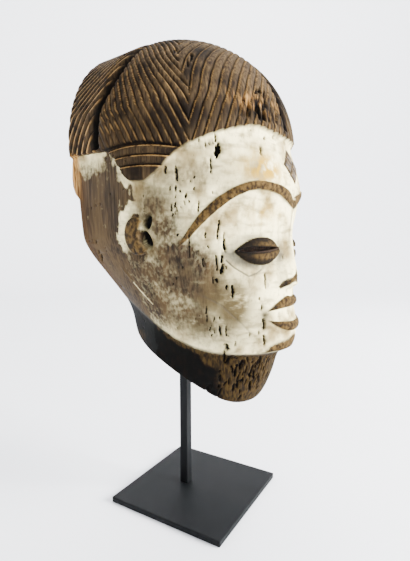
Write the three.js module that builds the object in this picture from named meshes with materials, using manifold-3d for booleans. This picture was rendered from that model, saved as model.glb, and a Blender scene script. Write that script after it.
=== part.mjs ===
// A carved wooden face mask with a grooved coiffure, resting on a square steel rod over a square steel foot.
// Millimetres. The foot lies on z = 0 with its middle at the origin, the face looks towards -Y, +Z is up.
import * as THREE from 'three';
import { mergeVertices } from 'three/addons/utils/BufferGeometryUtils.js';
import Module from 'manifold-3d';

const wasm = await Module();
wasm.setup();

// Driving dimensions
const maskHeight = 300;
const maskLift = 96; // from the ground to the base line of the carving
const maskWall = 9;
const hairRise = 3; // how far the coiffure stands out of the head
const grooveDepth = 1.1;
const groovePitch = 6;
const eyeSlit = 2.4;
const footSide = 110;
const footThickness = 5;
const footBevel = 0.8;
const rodSide = 8;
const rodSetBack = 12; // from the middle of the foot towards the back
const fitGap = 0.3;

// The carving is drawn 300 units tall, from a base line just under the collar to the crown
const drawnHeight = 300;
const scale = maskHeight / drawnHeight;
const units = (millimetres) => millimetres / scale;

// Head form: a height, half the width there, and how far the middle of the face stands forward
const stations = [
  [-5, 46, 51],
  [11, 48.5, 63.5],
  [28, 51, 71],
  [46, 55, 77],
  [53, 58, 87],
  [68, 63.5, 87.5],
  [88, 69.5, 85],
  [113, 76.5, 85],
  [138, 82.5, 86],
  [168, 84.5, 88],
  [188, 85, 87.5],
  [209, 85.5, 81.5],
];
const crown = 297;
const domeFoot = 201.5;
const widest = 10; // depth of the widest section
const heart = new THREE.Vector3(0, -6, 115);
const crownBack = 30; // depth at which the creases of the coiffure meet

function smooth(from, to, value) {
  const t = THREE.MathUtils.clamp((value - from) / (to - from), 0, 1);
  return t * t * (3 - 2 * t);
}

function bell(value, width) {
  return Math.exp(-((value / width) ** 2));
}

// Cubic through the stations that never overshoots them
function station(column, height) {
  const last = stations.length - 1;
  const h = THREE.MathUtils.clamp(height, stations[0][0], stations[last][0]);
  let i = 0;
  while (i < last - 1 && h > stations[i + 1][0]) i += 1;
  const rise = (k) => (stations[k + 1][column] - stations[k][column]) / (stations[k + 1][0] - stations[k][0]);
  const tangent = (k) => {
    if (k === 0) return rise(0);
    if (k === last) return rise(last - 1);
    const product = rise(k - 1) * rise(k);
    return product > 0 ? (2 * product) / (rise(k - 1) + rise(k)) : 0;
  };
  const span = stations[i + 1][0] - stations[i][0];
  const t = (h - stations[i][0]) / span;
  const start = (1 + 2 * t) * (1 - t) ** 2 * stations[i][column] + t * (1 - t) ** 2 * span * tangent(i);
  const end = t * t * (3 - 2 * t) * stations[i + 1][column] + t * t * (t - 1) * span * tangent(i + 1);
  return start + end;
}

// Below zero inside the head, above zero outside it
function headLevel(x, y, z, inset) {
  const jawSweep = 0.0052 * Math.max(0, y + 62) ** 2; // the edge of the jaw sweeps up towards the ears
  const height = z - jawSweep * (1 - smooth(68, 153, z));
  const backTaper =
    0.05 * smooth(widest, 70, y) * (1 - smooth(180, 215, z)) +
    0.1 * smooth(widest, 60, y) * (1 - smooth(53, 133, z));
  const halfWidth = (station(1, height) - inset) * (1 - backTaper);
  const reach = station(2, height) - inset + widest;
  const across = Math.abs(x) / halfWidth;
  const forward = Math.max(0, widest - y) / reach;
  const top = Math.max(0, z - domeFoot) / (crown - inset - domeFoot - 3 * smooth(10, 60, y));
  return across ** 2.15 + forward ** 1.85 + top ** 2.3 - 1;
}

// The point where a ray from inside meets the head, raised by lift
function meet(origin, direction, lift) {
  let near = 0;
  let far = 280;
  for (let step = 0; step < 36; step += 1) {
    const middle = (near + far) / 2;
    const point = direction.clone().multiplyScalar(middle).add(origin);
    if (headLevel(point.x, point.y, point.z, -lift) < 0) near = middle;
    else far = middle;
  }
  return direction.clone().multiplyScalar(near).add(origin);
}

// Carving of the face, as a height that stands forward of the head form
function relief(x, z) {
  const away = Math.abs(x);
  const browHeight = 178 - 0.0065 * Math.max(0, away - 20) ** 2;
  const brow = 2.4 * bell(z - browHeight, 9) * (1 - smooth(46, 66, away));
  const socket = -2.6 * Math.exp(-((((away - 32) / 27) ** 2 + ((z - 134) / 24) ** 2) ** 2));
  const bridge = 2.2 * bell(away, 8) * smooth(90, 112, z) * (1 - smooth(158, 172, z));
  const noseWidth = 6 + 8.5 * (1 - smooth(102, 138, z));
  const nose = 6 * bell(away, noseWidth) * smooth(97, 104, z) * (1 - smooth(104, 150, z));
  const muzzle = 4.5 * bell(away, 27) * bell(z - 80, 20);
  const mouth = -2.4 * bell(away, 19) * bell(z - 80, 4.5);
  const chin = 2.4 * bell(away, 17) * bell(z - 59, 8);
  const cheek = 1.6 * bell(away - 42, 20) * bell(z - 105, 20);
  return brow + socket + bridge + nose + muzzle + mouth + chin + cheek;
}

function forwardBy(point) {
  const facing = smooth(-10, -45, point.y);
  point.y -= relief(point.x, point.z) * facing;
  return point;
}

const front = (x, z, lift) => forwardBy(meet(new THREE.Vector3(x, heart.y, z), new THREE.Vector3(0, -1, 0), lift));
const flank = (hand, y, z, lift) => meet(new THREE.Vector3(0, y, z), new THREE.Vector3(hand, 0, 0), lift);

function around(hand, turn, z, lift) {
  const direction = new THREE.Vector3(hand * Math.sin(turn), -Math.cos(turn), 0);
  return forwardBy(meet(new THREE.Vector3(0, heart.y, z), direction, lift));
}

// Solids from sheets of points
function toSolid(points, triangles) {
  const positions = new Float32Array(points.flatMap((p) => [p.x, p.y, p.z]));
  let volume = 0;
  for (const [a, b, c] of triangles) volume += points[a].dot(points[b].clone().cross(points[c]));
  const faces = volume > 0 ? triangles : triangles.map(([a, b, c]) => [a, c, b]);
  const triVerts = new Uint32Array(faces.flat());
  return new wasm.Manifold(new wasm.Mesh({ numProp: 3, vertProperties: positions, triVerts }));
}

function sheetTriangles(rows, columns, start, flip) {
  const triangles = [];
  for (let i = 0; i < rows; i += 1) {
    for (let j = 0; j < columns; j += 1) {
      const a = start + i * (columns + 1) + j;
      const b = a + columns + 1;
      for (const [p, q, r] of [[a, a + 1, b + 1], [a, b + 1, b]]) triangles.push(flip ? [p, r, q] : [p, q, r]);
    }
  }
  return triangles;
}

function sheetEdge(rows, columns) {
  const edge = [];
  const at = (i, j) => i * (columns + 1) + j;
  for (let j = 0; j < columns; j += 1) edge.push(at(0, j));
  for (let i = 0; i < rows; i += 1) edge.push(at(i, columns));
  for (let j = columns; j > 0; j -= 1) edge.push(at(rows, j));
  for (let i = rows; i > 0; i -= 1) edge.push(at(i, 0));
  return edge;
}

// A closed slab between an outer and an inner sheet of points
function slab(rows, columns, outer, inner) {
  const points = [];
  for (const sheet of [outer, inner]) {
    for (let i = 0; i <= rows; i += 1) {
      for (let j = 0; j <= columns; j += 1) points.push(sheet(i, j));
    }
  }
  const half = (rows + 1) * (columns + 1);
  const triangles = [...sheetTriangles(rows, columns, 0, false), ...sheetTriangles(rows, columns, half, true)];
  const edge = sheetEdge(rows, columns);
  edge.forEach((a, k) => {
    const b = edge[(k + 1) % edge.length];
    triangles.push([a, a + half, b + half], [a, b + half, b]);
  });
  return toSolid(points, triangles);
}

// An outline in depth and height, drawn through the whole width
function acrossWidth(outline, width = 300) {
  const shape = new THREE.Shape(outline.map(([y, z]) => new THREE.Vector2(y, z)));
  const geometry = new THREE.ExtrudeGeometry(shape, { depth: width, bevelEnabled: false });
  const axes = new THREE.Matrix4().makeBasis(
    new THREE.Vector3(0, 1, 0),
    new THREE.Vector3(0, 0, 1),
    new THREE.Vector3(1, 0, 0),
  );
  geometry.applyMatrix4(axes).translate(-width / 2, 0, 0);
  return fromGeometry(geometry);
}

function fromGeometry(geometry) {
  geometry.deleteAttribute('normal');
  geometry.deleteAttribute('uv');
  const merged = mergeVertices(geometry, 1e-4);
  const mesh = new wasm.Mesh({
    numProp: 3,
    vertProperties: new Float32Array(merged.attributes.position.array),
    triVerts: new Uint32Array(merged.index.array),
  });
  return new wasm.Manifold(mesh);
}

// Joining leaves slivers. Their short edges are closed up and their long edges turned, where the skin allows it
function withoutSlivers(solid, shortest, thinnest) {
  const mesh = solid.getMesh();
  const points = [];
  for (let k = 0; k < mesh.vertProperties.length; k += 3) {
    points.push(new THREE.Vector3().fromArray(mesh.vertProperties, k));
  }
  let faces = [];
  for (let k = 0; k < mesh.triVerts.length; k += 3) faces.push([...mesh.triVerts.slice(k, k + 3)]);
  const normal = ([a, b, c]) => points[b].clone().sub(points[a]).cross(points[c].clone().sub(points[a]));
  for (let pass = 0; pass < 12; pass += 1) {
    const around = points.map(() => []);
    faces.forEach((face, f) => face.forEach((v) => around[v].push(f)));
    const touched = new Set();
    const dropped = new Set();
    const ring = (v) => new Set(around[v].flatMap((f) => faces[f]));
    const isFree = (v) => [...ring(v)].every((w) => !touched.has(w));
    let changes = 0;
    for (let f = 0; f < faces.length; f += 1) {
      const face = faces[f];
      if (dropped.has(f) || !face.every(isFree)) continue;
      const lengths = face.map((v, k) => points[v].distanceTo(points[face[(k + 1) % 3]]));
      const short = lengths.indexOf(Math.min(...lengths));
      const long = lengths.indexOf(Math.max(...lengths));
      if (lengths[short] < shortest) {
        const [keep, gone] = [face[short], face[(short + 1) % 3]];
        if (closeEdge(keep, gone)) changes += 1;
      } else if (normal(face).length() / lengths[long] < thinnest) {
        if (turnEdge(f, long)) changes += 1;
      }
    }
    faces = faces.filter((_, f) => !dropped.has(f));
    if (changes === 0) break;

    function closeEdge(keep, gone) {
      const shared = [...ring(keep)].filter((v) => v !== keep && v !== gone && ring(gone).has(v));
      if (shared.length !== 2) return false;
      const wing = [...new Set([...around[keep], ...around[gone]])];
      const before = new Map(wing.map((f) => [f, normal(faces[f])]));
      const [oldKeep, oldGone] = [points[keep].clone(), points[gone].clone()];
      const middle = oldKeep.clone().lerp(oldGone, 0.5);
      points[keep].copy(middle);
      points[gone].copy(middle);
      const stays = wing.filter((f) => !(faces[f].includes(keep) && faces[f].includes(gone)));
      const folds = stays.some((f) => {
        const after = normal(faces[f]);
        const was = before.get(f);
        return was.length() > 0.02 && after.dot(was) < 0.3 * after.length() * was.length();
      });
      if (folds) {
        points[keep].copy(oldKeep);
        points[gone].copy(oldGone);
        return false;
      }
      wing.filter((f) => !stays.includes(f)).forEach((f) => dropped.add(f));
      for (const v of [...ring(keep), ...ring(gone)]) touched.add(v);
      for (const f of around[gone]) faces[f] = faces[f].map((v) => (v === gone ? keep : v));
      return true;
    }

    function turnEdge(f, long) {
      const [a, b, c] = [faces[f][long], faces[f][(long + 1) % 3], faces[f][(long + 2) % 3]];
      const other = around[b].find((g) => g !== f && faces[g].includes(a) && faces[g].includes(b));
      if (other === undefined || dropped.has(other)) return false;
      const d = faces[other].find((v) => v !== a && v !== b);
      if (ring(c).has(d)) return false;
      const was = normal(faces[other]);
      const turned = [[a, d, c], [d, b, c]];
      if (turned.some((t) => normal(t).dot(was) <= 0)) return false;
      [a, b, c, d].forEach((v) => touched.add(v));
      [faces[f], faces[other]] = turned;
      return true;
    }
  }
  return toSolid(points, faces);
}

function toGeometry(solid) {
  const mesh = solid.getMesh();
  const geometry = new THREE.BufferGeometry();
  geometry.setAttribute('position', new THREE.BufferAttribute(new Float32Array(mesh.vertProperties), 3));
  geometry.setIndex(new THREE.BufferAttribute(new Uint32Array(mesh.triVerts), 1));
  geometry.computeVertexNormals();
  return geometry;
}

// The open back: depth of the rim at each height, and height of the lower edge at each depth
const rimDepth = (z) => 60 - 24.6 * (1 - smooth(73, 138, z)) - 3 * (1 - smooth(138, 203, z));
const edgeHeight = (y) => 4 + 0.6 * (y + 55) * smooth(-75, -30, y);

function behindRim() {
  const outline = [[-130, -80], [-130, edgeHeight(-130)]];
  for (let y = -90; y <= 20; y += 15) outline.push([y, edgeHeight(y)]);
  for (let z = 66; z < 230; z += 20) outline.push([rimDepth(z), z]);
  outline.push([60, 230], [60, 340], [190, 340], [190, -80]);
  return acrossWidth(outline);
}

// Head form as one closed body, from a square net of points wrapped round the heart of the head
function headBody(columns, rows, lift, carved) {
  const beyondRim = 1.06;
  const wrap = (i, j) => {
    const s = gathered((2 * j) / columns - 1);
    const t = raised((2 * i) / rows - 1);
    const a = s * Math.sqrt(1 - (t * t) / 2);
    const b = t * Math.sqrt(1 - (s * s) / 2);
    const turn = Math.atan2(b, a);
    const bend = Math.hypot(a, b) * openingAngle(turn) * beyondRim;
    const direction = bentDirection(bend, turn);
    const point = meet(heart, direction, carved ? hairSink(direction) : lift);
    return carved ? forwardBy(point) : point;
  };
  const points = [];
  for (let i = 0; i <= rows; i += 1) {
    for (let j = 0; j <= columns; j += 1) points.push(wrap(i, j));
  }
  const triangles = sheetTriangles(rows, columns, 0, false);
  const apex = points.push(new THREE.Vector3(0, 150, heart.z)) - 1;
  const edge = sheetEdge(rows, columns);
  edge.forEach((a, k) => triangles.push([a, apex, edge[(k + 1) % edge.length]]));
  return toSolid(points, triangles);
}

// Net lines lie closer on the face than on the sides and the dome
const gathered = (s) => s * (0.62 + 0.38 * s * s);
const raised = (t) => t - 0.24 * (1 - t * t);

// Angle from straight ahead at which a ray from the heart meets the rim, at steps round the opening
const rimSteps = 96;
const rimAngles = Array.from({ length: rimSteps + 1 }, (_, k) => {
  const turn = -Math.PI + (2 * Math.PI * k) / rimSteps;
  let low = 0.8;
  let high = 2.5;
  for (let step = 0; step < 16; step += 1) {
    const bend = (low + high) / 2;
    const point = meet(heart, bentDirection(bend, turn), 0);
    if (point.y < rimDepth(point.z) && point.z > edgeHeight(point.y)) low = bend;
    else high = bend;
  }
  return low;
});

function openingAngle(turn) {
  const place = ((turn + Math.PI) / (2 * Math.PI)) * rimSteps;
  const k = Math.min(rimSteps - 1, Math.floor(place));
  return rimAngles[k] + (rimAngles[k + 1] - rimAngles[k]) * (place - k);
}

function bentDirection(bend, turn) {
  return new THREE.Vector3(Math.sin(bend) * Math.cos(turn), -Math.cos(bend), Math.sin(bend) * Math.sin(turn));
}

// Under the coiffure the head form is let in, so that the creases between its lobes are deep
function hairSink(direction) {
  return -units(3) * smooth(0.62, 0.74, direction.z / Math.hypot(direction.x, direction.y, direction.z));
}

// Coiffure
const drop = 95; // from the crown to the foot of the lobes
const lobeHeart = (y) => new THREE.Vector3(0, y, domeFoot);
const halfLobe = Math.PI / 4;
const creaseSink = -units(2.6);

// Where a groove at this distance from the crown crosses this share of a half lobe
function grooveDrop(distance, share, lean) {
  let low = 0;
  let high = 2;
  for (let step = 0; step < 30; step += 1) {
    const q = (low + high) / 2;
    if (drop * (q + lean * halfLobe * share * Math.sin(q)) < distance) low = q;
    else high = q;
  }
  return low;
}

// Half a lobe, whose grooves run down from the crease to the middle line
function chevrons(hand, crease, middle, lean) {
  const shares = [0.985, 0.93, 0.66, 0.33, -0.01];
  const step = groovePitch * Math.hypot(1, lean) / 2;
  const rows = Math.ceil((drop * (1.72 + lean * halfLobe)) / units(step));
  const place = (i, j, lift) => {
    const q = grooveDrop(5 + i * units(step), Math.abs(shares[j]), lean);
    const turn = middle + (crease - middle) * shares[j];
    const direction = new THREE.Vector3(
      hand * Math.sin(turn) * Math.sin(q),
      -Math.cos(turn) * Math.sin(q),
      Math.cos(q),
    );
    return meet(lobeHeart(crownBack), direction, lift);
  };
  const height = (i, j) => (j === 0 ? creaseSink : units(hairRise - (i % 2) * grooveDepth));
  return slab(rows, shares.length - 1, (i, j) => place(i, j, height(i, j)), (i, j) => place(i, j, -units(5)));
}

// Behind the side crease the grooves run down and turn parallel to the rim
function backLobe(hand) {
  const depths = [0.8, 3.5, 12, 22, 34];
  const step = 1.35 * groovePitch;
  const fall = (d) => 1.3 * d + 0.06 * d * d;
  const rows = Math.ceil((drop * 1.66 + fall(34)) / units(step));
  const place = (i, j, lift) => {
    const q = (i * units(step) - fall(34) + fall(depths[j])) / drop;
    const direction = new THREE.Vector3(hand * Math.sin(q), 0, Math.cos(q));
    return meet(lobeHeart(crownBack + depths[j]), direction, lift);
  };
  const height = (i, j) => (j === 0 ? creaseSink : units(hairRise - (i % 2) * grooveDepth));
  return slab(rows, depths.length - 1, (i, j) => place(i, j, height(i, j)), (i, j) => place(i, j, -units(5)));
}

// The tress at the temple is a stack of rounded bands
function temple(hand) {
  const bandPitch = 6.9;
  const rows = 2 * Math.ceil(32 / bandPitch);
  const columns = 6;
  const place = (i, j, lift) => {
    const y = 28 - (j * 70) / columns;
    const z = 174 + (i * bandPitch) / 2 + 2 * (1 - ((y + 6) / 30) ** 2);
    return flank(hand, y, z, lift);
  };
  const height = (i) => (i % 2 ? units(hairRise - 0.6) : units(hairRise - 0.6 - grooveDepth));
  return slab(rows, columns, (i, j) => place(i, j, height(i)), (i, j) => place(i, j, -units(5)));
}

const halfSpace = 150; // room for one side of the coiffure
const seamOverlap = 0.3; // by which the two sides run into each other at the middle

function coiffure() {
  const lobeOutline = acrossWidth([
    [80, 201], [25, 202], [-8, 205], [-32, 197], [-48, 204], [-62, 214], [-74, 221], [-120, 221], [-120, 330], [80, 330],
  ]);
  const templeOutline = acrossWidth([
    [25, 204], [20, 199], [10, 189], [1, 178], [-9, 176], [-20, 181], [-27, 189], [-36, 196], [-36, 204],
  ]);
  const sides = [-1, 1].map((hand) => {
    const lobes = chevrons(hand, 0, halfLobe, 2.3)
      .add(chevrons(hand, 2 * halfLobe, halfLobe, 1.3))
      .add(backLobe(hand))
      .intersect(lobeOutline);
    const middle = hand * (halfSpace / 2 - seamOverlap);
    const own = fromGeometry(new THREE.BoxGeometry(halfSpace, 400, 400).translate(middle, 0, 200));
    return lobes.add(temple(hand).intersect(templeOutline)).intersect(own);
  });
  return sides[0].add(sides[1]);
}

// Face details
const eye = { x: 31, z: 128, halfLength: 20, halfHeight: 10.5, bulge: 5.5 };
const almond = (u) => Math.max(0.03, 1 - Math.abs(u) ** 2.2);

function eyelids(hand) {
  const columns = 12;
  const rows = 6;
  const place = (i, j, lift) => {
    const u = (2 * j) / columns - 1;
    const v = (2 * i) / rows - 1;
    return front(hand * (eye.x + u * eye.halfLength), eye.z + v * eye.halfHeight * almond(u), lift);
  };
  const height = (i, j) => {
    const u = (2 * j) / columns - 1;
    const v = (2 * i) / rows - 1;
    return -1 + (eye.bulge + 1) * Math.sqrt(1 - v * v) * Math.sqrt(almond(u) - 0.03);
  };
  return slab(rows, columns, (i, j) => place(i, j, height(i, j)), (i, j) => place(i, j, -units(4)));
}

function eyeCut(hand) {
  const shape = new THREE.Shape();
  const half = eye.halfLength * 0.84;
  shape.moveTo(-half, 0);
  shape.quadraticCurveTo(0, units(eyeSlit), half, 0);
  shape.quadraticCurveTo(0, -units(eyeSlit), -half, 0);
  const geometry = new THREE.ExtrudeGeometry(shape, { depth: 80, bevelEnabled: false, curveSegments: 6 });
  geometry.rotateX(Math.PI / 2).translate(hand * eye.x, -35, eye.z);
  return fromGeometry(geometry);
}

function brow(hand) {
  const columns = 14;
  const profile = [[-5, -1.4], [-3.6, 1], [3.4, 1.5], [5, -1.4]]; // across the band, and its rise
  const place = (i, j, lift) => {
    const degrees = 3 + (j * 66) / columns;
    const z = 178.5 - 0.0157 * (degrees - 15) ** 2;
    const lean = 1 + 0.35 * smooth(30, 69, degrees);
    return around(hand, THREE.MathUtils.degToRad(degrees), z + profile[i][0] * lean, lift);
  };
  return slab(3, columns, (i, j) => place(i, j, profile[i][1]), (i, j) => place(i, j, -units(3)));
}

// Lips: heights of the lower and upper edges at the middle, of the corner, and the depth of the cleft
const lowerLip = { low: 65.5, high: 76, corner: 75.5, peak: 0 };
const upperLip = { low: 85.5, high: 94.5, corner: 81.5, peak: 1.6 };
const halfMouth = 25;

function lip({ low, high, corner, peak }) {
  const columns = 14;
  const rows = 4;
  const place = (i, j, lift) => {
    const u = (2 * j) / columns - 1;
    const spread = Math.max(0.04, (1 - u * u) ** 0.8);
    const cleft = peak * bell(u, 0.16);
    const bottom = corner + (low - corner) * spread;
    const top = corner + (high - corner) * spread - cleft;
    return front(halfMouth * u, bottom + ((top - bottom) * i) / rows, lift);
  };
  const height = (i, j) => {
    const u = (2 * j) / columns - 1;
    const v = (2 * i) / rows - 1;
    return -1 + 3.8 * Math.sqrt(1 - v * v) * Math.sqrt(1 - u * u);
  };
  return slab(rows, columns, (i, j) => place(i, j, height(i, j)), (i, j) => place(i, j, -units(3)));
}

// Ears are broad crescents, open towards the face
const earMiddle = { y: -3, z: 140, halfDepth: 6, halfHeight: 10 };

function ear(hand) {
  const columns = 12;
  const profile = [[-4.4, -1.2], [-2, 2.6], [2, 3], [3.6, -1.2]]; // from the inner edge out, and the rise
  const place = (i, j, lift) => {
    const turn = THREE.MathUtils.degToRad(70 + (j * 220) / columns);
    const y = earMiddle.y - (earMiddle.halfDepth + profile[i][0]) * Math.cos(turn);
    const z = earMiddle.z + (earMiddle.halfHeight + profile[i][0]) * Math.sin(turn);
    return flank(hand, y, z, lift);
  };
  return slab(3, columns, (i, j) => place(i, j, profile[i][1]), (i, j) => place(i, j, -units(3)));
}

// Four raised lozenges on the forehead
function browMark() {
  const half = 6.2;
  const spacing = 6.9;
  const centre = 193;
  let marks = null;
  for (const [across, up] of [[-1, 0], [1, 0], [0, -1], [0, 1]]) {
    const place = (i, j, lift) => {
      const u = i - 1;
      const v = j - 1;
      return front(across * spacing + ((u + v) * half) / 2, centre + up * spacing + ((u - v) * half) / 2, lift);
    };
    const one = slab(2, 2, (i, j) => place(i, j, i === 1 && j === 1 ? 1.4 : -0.6), (i, j) => place(i, j, -3));
    marks = marks ? marks.add(one) : one;
  }
  return marks;
}

// A split stub of raw wood stands out of the rim below the coiffure
function stub() {
  const place = (i, j, lift) => flank(-1, 50 + j * 5.6, 171 + i * 6.2 - (j === 3 ? 0 : 1), lift);
  const outer = (i, j) => place(i, j, 0.6 + (j > 1 ? 1.5 : -1) - (i === 0 ? 1.5 : 0));
  return slab(5, 3, outer, (i, j) => place(i, j, -6));
}

const hollow = headBody(16, 18, -units(maskWall), false);
const opening = behindRim();
const details = [browMark(), lip(lowerLip), lip(upperLip)];
for (const hand of [-1, 1]) details.push(eyelids(hand), brow(hand), ear(hand));
let carving = headBody(40, 46, 0, true).add(coiffure());
for (const detail of details) carving = carving.add(detail);
carving = carving.subtract(opening).add(stub()).subtract(hollow);
for (const hand of [-1, 1]) carving = carving.subtract(eyeCut(hand));
carving = withoutSlivers(carving, 0.7, 0.08);

const wood = new THREE.MeshStandardMaterial({ color: '#b9a88c', roughness: 0.8, metalness: 0 });
const steel = new THREE.MeshStandardMaterial({ color: '#33383c', roughness: 0.45, metalness: 0.3 });

const mask = new THREE.Mesh(toGeometry(carving).scale(scale, scale, scale), wood);
mask.name = 'mask';
mask.position.z = maskLift;

// Height of the hollow's ceiling over the rod, measured under its corners
function ceilingOverRod() {
  const ceiling = new THREE.Mesh(toGeometry(hollow).scale(scale, scale, scale), new THREE.MeshBasicMaterial());
  ceiling.material.side = THREE.DoubleSide;
  const corners = [-1, 1].flatMap((i) => [-1, 1].map((j) => [(i * rodSide) / 2, rodSetBack + (j * rodSide) / 2]));
  const heights = corners.map(([x, y]) => {
    const up = new THREE.Raycaster(new THREE.Vector3(x, y, heart.z * scale), new THREE.Vector3(0, 0, 1));
    return up.intersectObject(ceiling)[0].point.z;
  });
  return maskLift + Math.min(...heights);
}

const rodFoot = footThickness + fitGap;
const rodTop = ceilingOverRod() - fitGap;
const rod = new THREE.Mesh(new THREE.BoxGeometry(rodSide, rodSide, rodTop - rodFoot), steel);
rod.name = 'stand_rod';
rod.position.set(0, rodSetBack, (rodTop + rodFoot) / 2);

// The foot is a plate with its edges slightly broken
function footPlate() {
  const inner = footSide / 2 - footBevel;
  const shape = new THREE.Shape([
    new THREE.Vector2(-inner, -inner),
    new THREE.Vector2(inner, -inner),
    new THREE.Vector2(inner, inner),
    new THREE.Vector2(-inner, inner),
  ]);
  const geometry = new THREE.ExtrudeGeometry(shape, {
    depth: footThickness - 2 * footBevel,
    bevelEnabled: true,
    bevelThickness: footBevel,
    bevelSize: footBevel,
    bevelSegments: 1,
  });
  return geometry.translate(0, 0, footBevel);
}
const foot = new THREE.Mesh(footPlate(), steel);
foot.name = 'stand_foot';

const object = new THREE.Group();
object.add(mask, rod, foot);

export default object;
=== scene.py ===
import math

import bmesh
import bpy
import numpy as np
from mathutils import Euler, Matrix, Vector


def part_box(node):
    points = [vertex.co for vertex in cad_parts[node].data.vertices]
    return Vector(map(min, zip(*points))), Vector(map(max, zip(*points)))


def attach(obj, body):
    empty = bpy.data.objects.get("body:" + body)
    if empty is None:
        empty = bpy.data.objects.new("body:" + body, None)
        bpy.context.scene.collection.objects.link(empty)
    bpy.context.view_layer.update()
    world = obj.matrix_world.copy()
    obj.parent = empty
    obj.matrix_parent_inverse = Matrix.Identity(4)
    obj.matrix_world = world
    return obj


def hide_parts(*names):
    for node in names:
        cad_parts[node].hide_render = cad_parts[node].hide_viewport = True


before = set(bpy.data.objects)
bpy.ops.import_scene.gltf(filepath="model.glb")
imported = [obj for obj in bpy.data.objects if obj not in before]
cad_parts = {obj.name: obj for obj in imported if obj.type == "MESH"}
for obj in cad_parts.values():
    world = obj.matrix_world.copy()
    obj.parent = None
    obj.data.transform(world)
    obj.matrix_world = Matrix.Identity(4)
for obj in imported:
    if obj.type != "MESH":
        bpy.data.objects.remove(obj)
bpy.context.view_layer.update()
print("stage: frame loaded")

carving = {
    "lift": 96.0,  # from the ground to the base line of the carving
    "wall": 9.0,
    "columns": 620,
    "rows": 660,
    "innerColumns": 300,
    "innerRows": 320,
    "triangles": 186000,
    "rimRound": 2.4,
    "rimRings": 6,
    # a height, half the width there, and how far the middle of the face stands forward
    "stations": [
        (-5, 46, 51), (11, 48.5, 63.5), (28, 51, 71), (46, 55, 77), (53, 58, 87), (68, 63.5, 87.5),
        (88, 69.5, 85), (113, 76.5, 85), (138, 82.5, 86), (168, 84.5, 88), (188, 85, 87.5),
        (209, 85.5, 81.5),
    ],
    "crown": 297.0,
    "domeFoot": 201.5,
    "widest": 10.0,
    "heart": (0.0, -6.0, 115.0),
}

coiffure = {
    "rise": 3.0,
    "grooveDepth": 1.25,
    "grooveHalf": 0.62,
    "frontPitch": 5.5,
    "sidePitch": 4.9,
    "rearPitch": 14.2,
    "drop": 95.0,
    "creaseDepth": 5.2,
    "creaseHalf": 2.3,
    "frontLean": 3.2,
    "sideLean": 2.2,
    # depth of the crease at the side, by height
    "sideCrease": [(200, 31), (229, 31), (242, 24.5), (257, 18), (276, 14), (300, 12)],
    "bandPitch": 6.9,
    # depth and height of the hairline, from the rim to the middle of the forehead
    "hairline": [
        (80, 201), (25, 201.5), (20, 200), (15, 196.5), (10, 189), (6, 182.5), (1, 178), (-12, 177.5),
        (-21, 184.5), (-29, 193.5), (-36, 199.5), (-46, 204.5), (-54, 209), (-65, 213.5), (-74, 217),
        (-78, 214), (-130, 213.5),
    ],
    # foot of the lobes above the tress at the temple
    "lobeFoot": [
        (80, 201), (25, 201.5), (8, 203.5), (-8, 204.5),
        (-22, 202.5), (-36, 199.5), (-46, 204.5), (-130, 221),
    ],
}

face = {
    "eyeAcross": 31.0,
    "eyeUp": 128.8,
    "eyeHalfLength": 19.6,
    "eyeHalfHeight": 10.5,
    "eyeBulge": 5.5,
    "slit": 5.0,
    "slitRise": 1.4,
    "slitSlope": 0.9,
    "browRise": 1.7,
    # brow by the angle from straight ahead: height of its middle and half its width
    "brow": [
        (0, 164.5, 4.5), (3, 166.5, 5.2), (7, 169.1, 4.8), (15, 172.9, 3.9), (23, 174.8, 3.1),
        (30, 175.0, 3.1), (35, 173.8, 3.3), (40, 171.1, 3.6), (45, 167.2, 4.1), (50, 162.4, 4.6),
        (55, 156.6, 4.8), (60, 149.6, 4.8), (65, 141.4, 3.6), (69, 135.0, 1.6), (73, 129.0, 0.2),
    ],
    "lipHalf": 28.0,
    # lower edge, upper edge and corner of each lip, and the cleft of the upper one
    "lips": [(66.0, 74.2, 78.0, 0.0), (85.0, 95.0, 82.5, 1.8)],
    # underside of the nose and its bare tip, from the middle outwards: lower and upper edge
    "nostril": [
        (0, 104, 116), (2.2, 104.6, 111.4), (5.8, 104, 108.5),
        (9.9, 101.6, 107.9), (14.4, 99.4, 105.8), (17.5, 101.5, 102),
    ],
    # where the earth is rubbed thin, and where it is stained through:
    # angle from straight ahead, height, half width and half height of the patch, strength
    "thin": [
        (72, 126, 15, 11, 1.0), (58, 117, 9, 13, 0.7), (88, 113, 15, 10, 0.95), (102, 108, 12, 18, 1.0),
        (96, 124, 8, 6, 1.0), (83, 158, 9, 14, 0.62), (78, 145, 9, 11, 0.7), (72, 104, 20, 12, 0.8),
        (74, 84, 20, 14, 0.62), (92, 88, 16, 18, 0.9), (66, 181, 16, 8, 0.35), (116, 184, 16, 9, 0.62),
        (52, 70, 14, 12, 0.35),
    ],
    "haze": [
        (40, 88, 13, 24, 0.9), (54, 98, 14, 18, 0.9), (60, 78, 14, 16, 0.8), (68, 112, 14, 16, 0.8),
        (78, 165, 12, 20, 0.55), (28, 64, 12, 9, 0.35), (34, 190, 11, 9, 0.35), (60, 200, 12, 8, 0.3),
        (44, 186, 16, 14, 0.3), (22, 202, 20, 9, 0.2),
    ],
    "chinPatch": [(0, 64), (3.3, 63.3), (8.5, 61), (14.4, 59.5), (19.9, 58.7), (24, 56), (27, 50)],
    # depth to which the earth reaches back, by height
    "earthEdge": [
        (40, 8), (81, 5), (91, 10), (103, 12), (116, 17), (121, 8),
        (126, -6), (163, -4), (169, -2), (177, 2), (198, 15), (230, 30),
    ],
    "earBack": -2.0,
    "earUp": 140.0,
}

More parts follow.
